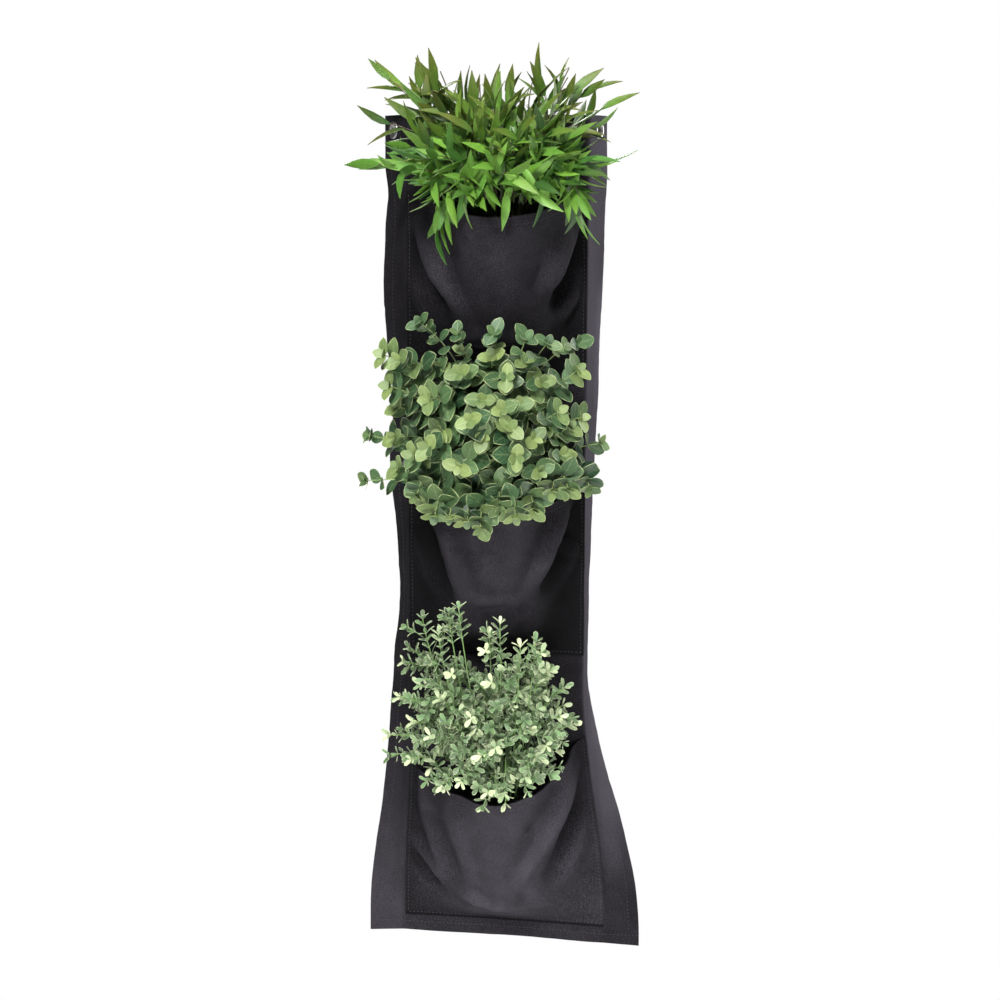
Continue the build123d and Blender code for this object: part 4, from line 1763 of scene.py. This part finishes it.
@dataclass
class Bamboo(PlantModel):
    """Slender twigs with long pointed leaves."""

    twig: float = 46.0
    twig_knee: float = 22.0
    bare_twig: float = 44.0
    bare_knee: float = 16.0
    bare_above: float = 20.0
    mouth_drop: float = 6.0
    forks: tuple[int, ...] = (6, 9)
    bare_fork: int = 10
    twig_points: int = 7
    twig_radii: tuple[float, float] = (0.55, 0.35)
    bare_radii: tuple[float, float] = (0.8, 0.6)
    bare_chance: float = 0.6
    splay: tuple[float, float] = (22, 46)
    end_splay: tuple[float, float] = (4, 12)
    sizes: tuple[float, float] = (0.7, 1.05)

    def sprig(self, tip: Array) -> Sprig:
        """Twig with alternate leaves, two side twigs and a leaf at each end.

        Args:
            tip: Where it ends.

        Returns:
            The sprig.
        """
        line = self.stem(tip)
        sprig = Sprig([(line, *self.stem_radii)], [])
        hanging = tip[2] < self.hang.seam(self.level) + self.hang.pocket - self.mouth_drop
        self.leafy(sprig, line, 0.74 if hanging else 0.45, 8 if hanging else 7, tip)
        for at in () if hanging else self.forks:
            way = unit(line[at + 1] - line[at])
            out = self.around(way, self.dice.uniform(0, ANY_TURN))
            end = line[at] + self.twig * unit(way + 0.75 * out + np.array([0, -0.1, 0.25]))
            twig = curve(line[at], line[at] + self.twig_knee * unit(way + 0.2 * out), end, self.twig_points)
            sprig.lines.append((twig, *self.twig_radii))
            self.leafy(sprig, twig, 0.35, 3, end)
        if tip[2] > self.bare_above and self.dice.uniform() < self.bare_chance:
            lean = np.array([self.dice.uniform(-0.5, 0.5), -0.1, 0.9])
            fork, after = line[self.bare_fork : self.bare_fork + 2]
            end = fork + self.bare_twig * unit(lean + unit(after - fork))
            bare = curve(fork, fork + self.bare_knee * unit(lean), end, self.twig_points)
            sprig.lines.append((bare, *self.bare_radii))
        return sprig

    def leafy(self, sprig: Sprig, line: Array, bare: float, count: int, tip: Array) -> None:
        """Set leaves along a twig.

        Args:
            sprig: The sprig that gets them.
            line: The twig.
            bare: Share of the twig without leaves.
            count: How many leaves.
            tip: The twig's end.
        """
        high = float(np.clip((tip[2] - self.crown[2]) / self.radii[2], 0, 1))
        for k in range(count):
            foot, way = along(line, bare + (1 - bare) * (k + 0.7) / count)
            # Leaves towards the front of the crown get a higher age and so a lighter colour: painted light
            # on the crown's front; the height term is the leaves' own colour.
            age = self.draw(0.42 + 0.25 * self.frontness(foot) - 0.2 * high, 0.2)
            dry = self.draw(high - 0.05, 0.25)
            colour = (float(self.dice.uniform(0, 1)), age, dry)
            last = k == count - 1
            splay = self.dice.uniform(*(self.end_splay if last else self.splay))
            roll = k * 2.6 + self.dice.uniform(-0.5, 0.5)
            sprig.leaves.append(self.place(foot, way, roll, splay, self.dice.uniform(*self.sizes), colour))


@dataclass
class Eucalyptus(PlantModel):
    """Stems with opposite pairs of round leaves and a rosette at the end."""

    pair_pitch: float = 13.0
    bow_below: float = 40.0
    bow_back: float = 46.0
    bow_over_mouth: float = 62.0
    bow_over_tip: float = 52.0
    slight_above: float = 78.0
    slight_size: float = 0.64
    stem_radii: tuple[float, float] = (1.1, 0.5)
    leafy_share: float = 0.62
    least_pairs: int = 3
    rosette: int = 4
    splay: tuple[float, float] = (62, 86)
    sizes: tuple[float, float] = (0.85, 1.1)

    def sprig(self, tip: Array) -> Sprig:
        """Stem with pairs of leaves that get smaller towards a rosette.

        Args:
            tip: Where it ends.

        Returns:
            The sprig.
        """
        line = self.stem(tip)
        mouth = self.hang.mouth(self.level)
        if tip[2] < mouth + self.bow_below:
            high = max(mouth + self.bow_over_mouth, tip[2] + self.bow_over_tip)
            knee = np.array([0.85 * tip[0], tip[1] + self.bow_back, high])
            line = curve(line[0], knee, tip, self.stem_points)
        slight = self.slight_size if tip[2] > self.crown[2] + self.slight_above else 1.0
        sprig = Sprig([(line, *self.stem_radii)], [])
        length = np.linalg.norm(np.diff(line, axis=0), axis=1).sum()
        count = max(self.least_pairs, int(self.leafy_share * length / self.pair_pitch))
        roll = self.dice.uniform(0, ANY_TURN)
        for k in range(count):
            foot, way = along(line, 0.38 + 0.6 * (k + 0.5) / count)
            end = k / max(count - 1, 1)
            size = slight * (1.0 - 0.36 * end**2)
            roll += math.pi / 2 + self.dice.uniform(-0.2, 0.2)
            for side in (0, math.pi):
                # Age rises towards the stem's end, which is real, and towards the crown's front, which is
                # painted light.
                age = self.draw(0.06 + 0.44 * end * (0.35 + 0.65 * self.frontness(foot)), 0.15)
                colour = (float(self.dice.uniform(0, 1)), age, 0.0)
                splay = self.dice.uniform(*self.splay) - 14 * end
                grown = size * self.dice.uniform(*self.sizes)
                sprig.leaves.append(self.place(foot, way, roll + side, splay, grown, colour))
        way = unit(line[-1] - line[-2])
        for k in range(self.rosette):
            # Rosettes towards the crown's front are painted lighter: painted light on the crown's front.
            age = self.draw((0.40 + 0.38 * self.frontness(tip)) * slight**2, 0.16)
            colour = (float(self.dice.uniform(0.3, 1)), age, 0.0)
            size = self.dice.uniform(0.32, 0.42) if k % 2 else self.dice.uniform(0.46, 0.60)
            splay = self.dice.uniform(30, 44) if k % 2 else self.dice.uniform(54, 70)
            sprig.leaves.append(self.place(line[-1], way, roll + k * math.pi / 2, splay, size, colour))
        return sprig


@dataclass
class Boxwood(PlantModel):
    """Thin forked stems with whorls of small spoon-shaped leaves."""

    tall_above: float = 88.0
    tall_knee: float = 70.0
    twig_knee: float = 9.0
    whorl_pitch: float = 7.5
    forks: tuple[int, ...] = (8, 10, 11)
    twig: tuple[float, float] = (18, 28)
    twig_points: int = 6
    twig_radii: tuple[float, float] = (0.5, 0.35)
    stem_whorls: int = 5
    twig_whorls: int = 2
    splay: tuple[float, float] = (40, 62)
    sizes: tuple[float, float] = (0.7, 1.1)

    def sprig(self, tip: Array) -> Sprig:
        """Stem that forks into a few twigs, each with whorls of leaves.

        Args:
            tip: Where it ends.

        Returns:
            The sprig.
        """
        line = self.stem(tip)
        if tip[2] > self.crown[2] + self.tall_above:
            knee = np.array([0.85 * tip[0], tip[1] + 1.0, tip[2] - self.tall_knee])
            line = curve(line[0], knee, tip, self.stem_points)
        sprig = Sprig([(line, *self.stem_radii)], [])
        self.whorls(sprig, line, self.stem_whorls)
        for at in self.forks:
            way = unit(line[at + 1] - line[at])
            out = self.around(way, self.dice.uniform(0, ANY_TURN))
            end = line[at] + self.dice.uniform(*self.twig) * unit(way + 0.8 * out)
            twig = curve(line[at], line[at] + self.twig_knee * unit(way + 0.3 * out), end, self.twig_points)
            sprig.lines.append((twig, *self.twig_radii))
            self.whorls(sprig, twig, self.twig_whorls)
        return sprig

    def whorls(self, sprig: Sprig, line: Array, count: int) -> None:
        """Set whorls of leaves towards a twig's end.

        Args:
            sprig: The sprig that gets them.
            line: The twig.
            count: How many whorls.
        """
        way = unit(line[-1] - line[-2])
        pale = self.dice.uniform(0.45, 0.95) if self.dice.uniform() < 0.5 else self.dice.uniform(0.0, 0.3)
        for k in range(count):
            foot = line[-1] - way * (count - 1 - k) * self.whorl_pitch
            end = (k + 1) / count
            for j in range(3 if k < count - 1 else 4):
                age = self.draw(pale * end**2, 0.14)
                colour = (float(self.dice.uniform(0, 1)), age, 0.0)
                roll = j * 2 * math.pi / 3.3 + k * 0.9 + self.dice.uniform(-0.3, 0.3)
                splay = self.dice.uniform(*self.splay) - 12 * (k == count - 1)
                size = self.dice.uniform(*self.sizes)
                sprig.leaves.append(self.place(foot, way, roll, splay, size, colour))


@dataclass(frozen=True)
class Lamp:
    """Soft square light that faces the panel, in metres, watts and degrees."""

    name: str
    at: Point
    size: float
    power: float
    spread: float = 180.0
    aim: float = -0.38

    def build(self) -> None:
        """Set the light up."""
        lamp = bpy.data.lights.new(self.name, "AREA")
        lamp.size, lamp.energy, lamp.spread = self.size, self.power, math.radians(self.spread)
        obj = bpy.data.objects.new(self.name, lamp)
        bpy.context.scene.collection.objects.link(obj)
        obj.location = self.at
        away = obj.location.copy()
        away.z -= self.aim
        obj.rotation_euler = away.to_track_quat("Z", "Y").to_euler()


@dataclass
class Studio:
    """Floor, backdrop, lights and camera, in metres, degrees and, for the focal length, pixels."""

    eye: Point = (-0.0315, -1.800, -0.049)
    tilt: float = 10.66
    pan: float = 1.12
    focal: float = 1707.7
    picture: float = 1000.0
    sensor: float = 36.0
    floor_height: float = -1.25
    floor_size: float = 8.0
    white: Colour = (1.0, 1.0, 1.0, 1.0)
    dim: Colour = (0.085, 0.085, 0.09, 1.0)
    pale: Colour = (0.8, 0.8, 0.8, 1.0)
    lamps: tuple[Lamp, ...] = (
        Lamp("key", (-0.55, -1.93, 0.95), 0.45, 72.0),
        Lamp("low", (0.0, -1.7, -0.85), 0.5, 5.0, spread=70.0, aim=-0.78),
        Lamp("top", (0.2, -0.6, 1.5), 0.8, 26.0),
        Lamp("side", (1.4, 0.6, 0.1), 0.5, 12.0),
        Lamp("back", (-0.3, 2.0, 0.4), 1.0, 64.0),
    )

    def build(self) -> None:
        """Set everything up."""
        scene = bpy.context.scene
        scene.view_settings.view_transform = "Standard"
        self.backdrop(scene)
        self.floor()
        for lamp in self.lamps:
            lamp.build()
        self.camera(scene)

    def backdrop(self, scene: bpy.types.Scene) -> None:
        """White world for the camera, a softer one for the light.

        Args:
            scene: The scene.
        """
        world = bpy.data.worlds.new("studio")
        scene.world = world
        world.use_nodes = True
        tree = world.node_tree
        start = Shade(tree)
        seen = start.node("ShaderNodeLightPath", out="Is Camera Ray")
        colour = seen.mix(self.dim, self.white)
        start.feed(tree.nodes["Background"].inputs["Color"], colour)

    def floor(self) -> None:
        """Pale floor well below the hanging panel."""
        add = bpy.ops.mesh.primitive_plane_add
        plane = primitive(add, size=self.floor_size, location=(0, 0, self.floor_height))
        plane.name = "studio_floor"
        material = bpy.data.materials.new("studio_floor")
        material.use_nodes = True
        tree = material.node_tree
        start = Shade(tree)
        shader = tree.nodes["Principled BSDF"]
        shader.inputs["Base Color"].default_value = self.pale
        shader.inputs["Roughness"].default_value = 0.9
        seen = start.node("ShaderNodeLightPath", out="Is Camera Ray")
        glow = start.node("ShaderNodeEmission", {"Color": self.white})
        mixed = start.node("ShaderNodeMixShader", {0: seen, 1: Shade(tree, shader.outputs[0]), 2: glow})
        start.feed(tree.nodes["Material Output"].inputs["Surface"], mixed)
        plane.data.materials.append(material)
        plane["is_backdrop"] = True

    def camera(self, scene: bpy.types.Scene) -> None:
        """Camera at the photograph's angle.

        Args:
            scene: The scene.
        """
        lens = bpy.data.cameras.new("camera")
        lens.sensor_width, lens.lens = self.sensor, self.focal * self.sensor / self.picture
        obj = bpy.data.objects.new("camera", lens)
        scene.collection.objects.link(obj)
        obj.location = self.eye
        obj.rotation_euler = (math.radians(90 - self.tilt), 0.0, -math.radians(self.pan))
        scene.camera = obj


# Places from each pocket's middle and seam, in millimetres. Depths below zero stand out as ridges.
UPPER_FOLDS = (
    Fold(-107, 170, -44, 42, 7, 13.0), Fold(-92, 176, -20, 42, 8, -8.0), Fold(-104, 116, -66, 44, 5, -5.0),
    Fold(107, 176, 52, 60, 9, 11.0), Fold(88, 176, 34, 66, 10, -6.0), Fold(86, 92, 58, 48, 7, -7.0),
    Fold(-44, 48, 42, 40, 9, -4.0),
)
MIDDLE_FOLDS = (
    Fold(-96, 180, -42, 46, 8, 13.0), Fold(-62, 174, -26, 64, 8, -7.0), Fold(96, 178, 42, 56, 8, 13.0),
    Fold(72, 174, 24, 68, 8, -7.0), Fold(-38, 70, 36, 72, 9, -5.0), Fold(62, 138, 94, 98, 6, -6.0),
    Fold(-20, 162, -17, 84, 3.2, 1.0), Fold(-70, 130, 44, 118, 5, 0.6),
)
LOWER_FOLDS = (
    Fold(-100, 182, -94, 100, 7, 8.0), Fold(-80, 184, -78, 100, 8, -6.0), Fold(-84, 128, -52, 32, 8, -8.0),
    Fold(-112, 104, -56, 40, 6, -6.0), Fold(-104, 78, -62, 30, 6, 8.0), Fold(92, 196, 4, 38, 10, -8.0),
    Fold(102, 160, 42, 34, 10, 11.0), Fold(-58, 44, 34, 26, 7, -4.0),
)

# Ends of the sprigs that stand out of each crown, in millimetres.
BAMBOO_TIPS = (
    (-110, -65, 50), (-95, -60, 40), (-75, -65, 25), (-55, -60, 35), (-35, -70, 25), (-5, -60, 25),
    (10, -60, 25), (35, -80, 20), (50, -60, 40), (75, -70, 35), (100, -60, 40), (105, -75, 20),
    (-110, -85, 5), (-120, -105, -35), (-60, -120, -100), (-50, -125, -80), (-55, -120, -90),
    (75, -115, -75), (80, -125, -85), (85, -115, -30),
)
EUCALYPTUS_TIPS = (
    (-75, -165, -185), (-40, -165, -195), (-5, -165, -195), (25, -165, -200), (45, -165, -205),
    (75, -160, -205), (75, -165, -230), (-110, -165, -215), (-95, -170, -220), (-105, -165, -245),
    (-125, -120, -300), (-130, -120, -345), (100, -110, -310), (90, -130, -350), (80, -135, -280),
)
BOXWOOD_TIPS = (
    (-75, -190, -470), (-50, -190, -465), (-40, -190, -460), (0, -190, -475), (-10, -185, -490),
    (-60, -190, -485), (35, -185, -495), (20, -185, -500), (-110, -120, -610), (-110, -125, -630),
    (-95, -110, -535), (-90, -115, -520), (-100, -120, -570), (75, -120, -600), (65, -140, -555),
    (65, -120, -580), (50, -150, -535),
)


@dataclass
class Planter:
    """The whole object."""

    hang: Hang = field(default_factory=Hang)
    top_seam: float = 27.0
    bottom_seam: float = 11.5

    def build(self) -> None:
        """Build every sub-assembly in order."""
        cloth = ClothFinish("cloth", 0.82, (("Sheen Weight", 0.0), ("Specular IOR Level", 0.08))).build()
        thread = ThreadFinish("thread", 0.6).build()
        panel = Panel(self.hang, cloth)
        pockets = [
            PocketCloth(
                self.hang, Level.UPPER, cloth, UPPER_FOLDS,
                seed=21, painted_shade_below=120.0, painted_light_power=0.3, fade=0.34,
            ),
            PocketCloth(
                self.hang, Level.MIDDLE, cloth, MIDDLE_FOLDS,
                seed=22, painted_shade_below=100.0, painted_light_power=1.4, fade=0.44,
            ),
            PocketCloth(
                self.hang, Level.LOWER, cloth, LOWER_FOLDS,
                seed=23, painted_shade_below=5.0, painted_light_power=0.3, fade=0.46, mouth_tilt=17.0,
            ),
        ]
        panel.build()
        LOG.info("panel and hems built")
        for pocket in pockets:
            pocket.build()
            LOG.info("%s pocket built, flat %.3f x %.3f m", pocket.level.word, *pocket.flat)
        self.sew(Stitching(thread), panel, pockets)
        self.dress_nodes()
        self.grow()

    def sew(self, stitching: Stitching, panel: Panel, pockets: list[PocketCloth]) -> None:
        """Sew the pockets on and the hems down.

        Args:
            stitching: The rows of stitches.
            panel: The panel.
            pockets: The pockets.
        """
        p, out = panel.points, normals(panel.points)
        step = self.hang.height / (panel.rows - 1)
        for row in (round(self.top_seam / step), panel.rows - 1 - round(self.bottom_seam / step)):
            stitching.run(p[row], out[row])
        for column in (5, -6):
            stitching.run(p[10:-5, column], out[10:-5, column])
        for pocket in pockets:
            q, facing = pocket.points, normals(pocket.points)
            for column in (2, -3):
                stitching.run(q[1:-2, column], facing[1:-2, column])
            stitching.run(q[-3, 2:-2], facing[-3, 2:-2])
            edge = sum(pocket.legs[:2])
            stitching.run(q[5, edge:-edge], facing[5, edge:-edge])
        stitching.build()

    def dress_nodes(self) -> None:
        """Give the CAD nodes that stay in view their materials."""
        metal = MetalFinish("nickel", 0.3, (("Metallic", 1.0),)).build()
        plastic = PlasticFinish("pot", 0.5).build()
        soil = SoilFinish("soil", 0.95).build()
        dressed = {"eyelets": metal, "eyelet_washers": metal}
        for species in Species:
            dressed[f"{species.word}_pot"] = plastic
            dressed[f"{species.word}_fill"] = soil
        for node, material in dressed.items():
            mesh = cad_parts[node].data
            mesh.materials.clear()
            mesh.materials.append(material)

    def grow(self) -> None:
        """Grow the three plants."""
        taken: set[int] = set()
        for plant in (self.bamboo(), self.eucalyptus(), self.boxwood()):
            plant.build(taken)

    def bamboo(self) -> Bamboo:
        """The plant of the upper pocket.

        Returns:
            The plant.
        """
        leaf = LeafFinish(
            "bamboo_leaf", 0.38,
            dark=(0.018, 0.064, 0.016, 1), middle=(0.056, 0.175, 0.019, 1), young=(0.145, 0.315, 0.034, 1),
            margin=(0.20, 0.34, 0.09, 1), tip=(0.110, 0.120, 0.016, 1), margin_from=0.85, margin_share=0.12,
            veins=0.0, vein_slant=9.0, vein_share=0.18,
        )
        stem = StemFinish("bamboo_stem", 0.5, low=(0.03, 0.05, 0.012, 1), high=(0.09, 0.055, 0.03, 1))
        shape = LeafShape(42, 10.4, widest=0.40, roundness=0.95, cells=(6, 2), cup=0.3, droop=0.12)
        return Bamboo(
            self.hang, Species.BAMBOO, crown=(-4, -108, -36), radii=(88, 66, 64), stems=36,
            leaf=shape, leaf_finish=leaf, stem_finish=stem, seed=31, tips=BAMBOO_TIPS,
            row=8, row_middle=(-4, -130, -60), row_end=(58, -118, -46),
        )

    def eucalyptus(self) -> Eucalyptus:
        """The plant of the middle pocket.

        Returns:
            The plant.
        """
        leaf = LeafFinish(
            "eucalyptus_leaf", 0.45,
            dark=(0.011, 0.045, 0.017, 1), middle=(0.064, 0.132, 0.048, 1), young=(0.180, 0.245, 0.075, 1),
            margin=(0.40, 0.47, 0.22, 1), tip=(0.3, 0.3, 0.1, 1), margin_from=0.80, margin_share=0.75,
            veins=6.0, vein_slant=1.8, vein_share=0.22,
        )
        stem = StemFinish("eucalyptus_stem", 0.5, low=(0.04, 0.07, 0.02, 1), high=(0.25, 0.33, 0.12, 1))
        shape = LeafShape(30, 24.0, widest=0.47, roundness=0.66, cells=(8, 2), cup=0.12, droop=0.08)
        return Eucalyptus(
            self.hang, Species.EUCALYPTUS, crown=(-16, -138, -292), radii=(88, 58, 84), stems=54,
            leaf=shape, leaf_finish=leaf, stem_finish=stem, seed=32, tips=EUCALYPTUS_TIPS,
            row=11, row_middle=(-16, -168, -374), row_end=(66, -146, -338),
        )

    def boxwood(self) -> Boxwood:
        """The plant of the lower pocket.

        Returns:
            The plant.
        """
        leaf = LeafFinish(
            "boxwood_leaf", 0.5,
            dark=(0.009, 0.040, 0.010, 1), middle=(0.070, 0.175, 0.050, 1), young=(0.46, 0.53, 0.31, 1),
            margin=(0.54, 0.61, 0.37, 1), tip=(0.6, 0.6, 0.4, 1), margin_from=0.70, margin_share=0.55,
            veins=0.0, vein_slant=0.0, vein_share=0.12,
        )
        stem = StemFinish("boxwood_stem", 0.5, low=(0.008, 0.018, 0.006, 1), high=(0.16, 0.30, 0.07, 1))
        shape = LeafShape(11.0, 5.0, widest=0.68, roundness=0.55, cells=(4, 2), cup=0.15, droop=0.10)
        return Boxwood(
            self.hang, Species.BOXWOOD, crown=(-14, -134, -590), radii=(82, 58, 74), stems=58,
            leaf=shape, leaf_finish=leaf, stem_finish=stem, seed=33, tips=BOXWOOD_TIPS,
            row=10, row_middle=(-16, -178, -654), row_end=(52, -150, -636),
        )


def write_sizes() -> None:
    """Work out the CAD model's box and the visual model's box."""
    boxes = {"cad": CAD_BOX, "visual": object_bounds()}
    plain = {name: [[float(v) for v in corner] for corner in box] for name, box in boxes.items()}


def main() -> None:
    """Build the object and its studio."""
    logging.basicConfig(level=logging.INFO, format="%(name)s: %(message)s")
    Studio().build()
    Planter().build()
    write_sizes()


if __name__ == "__main__":
    main()
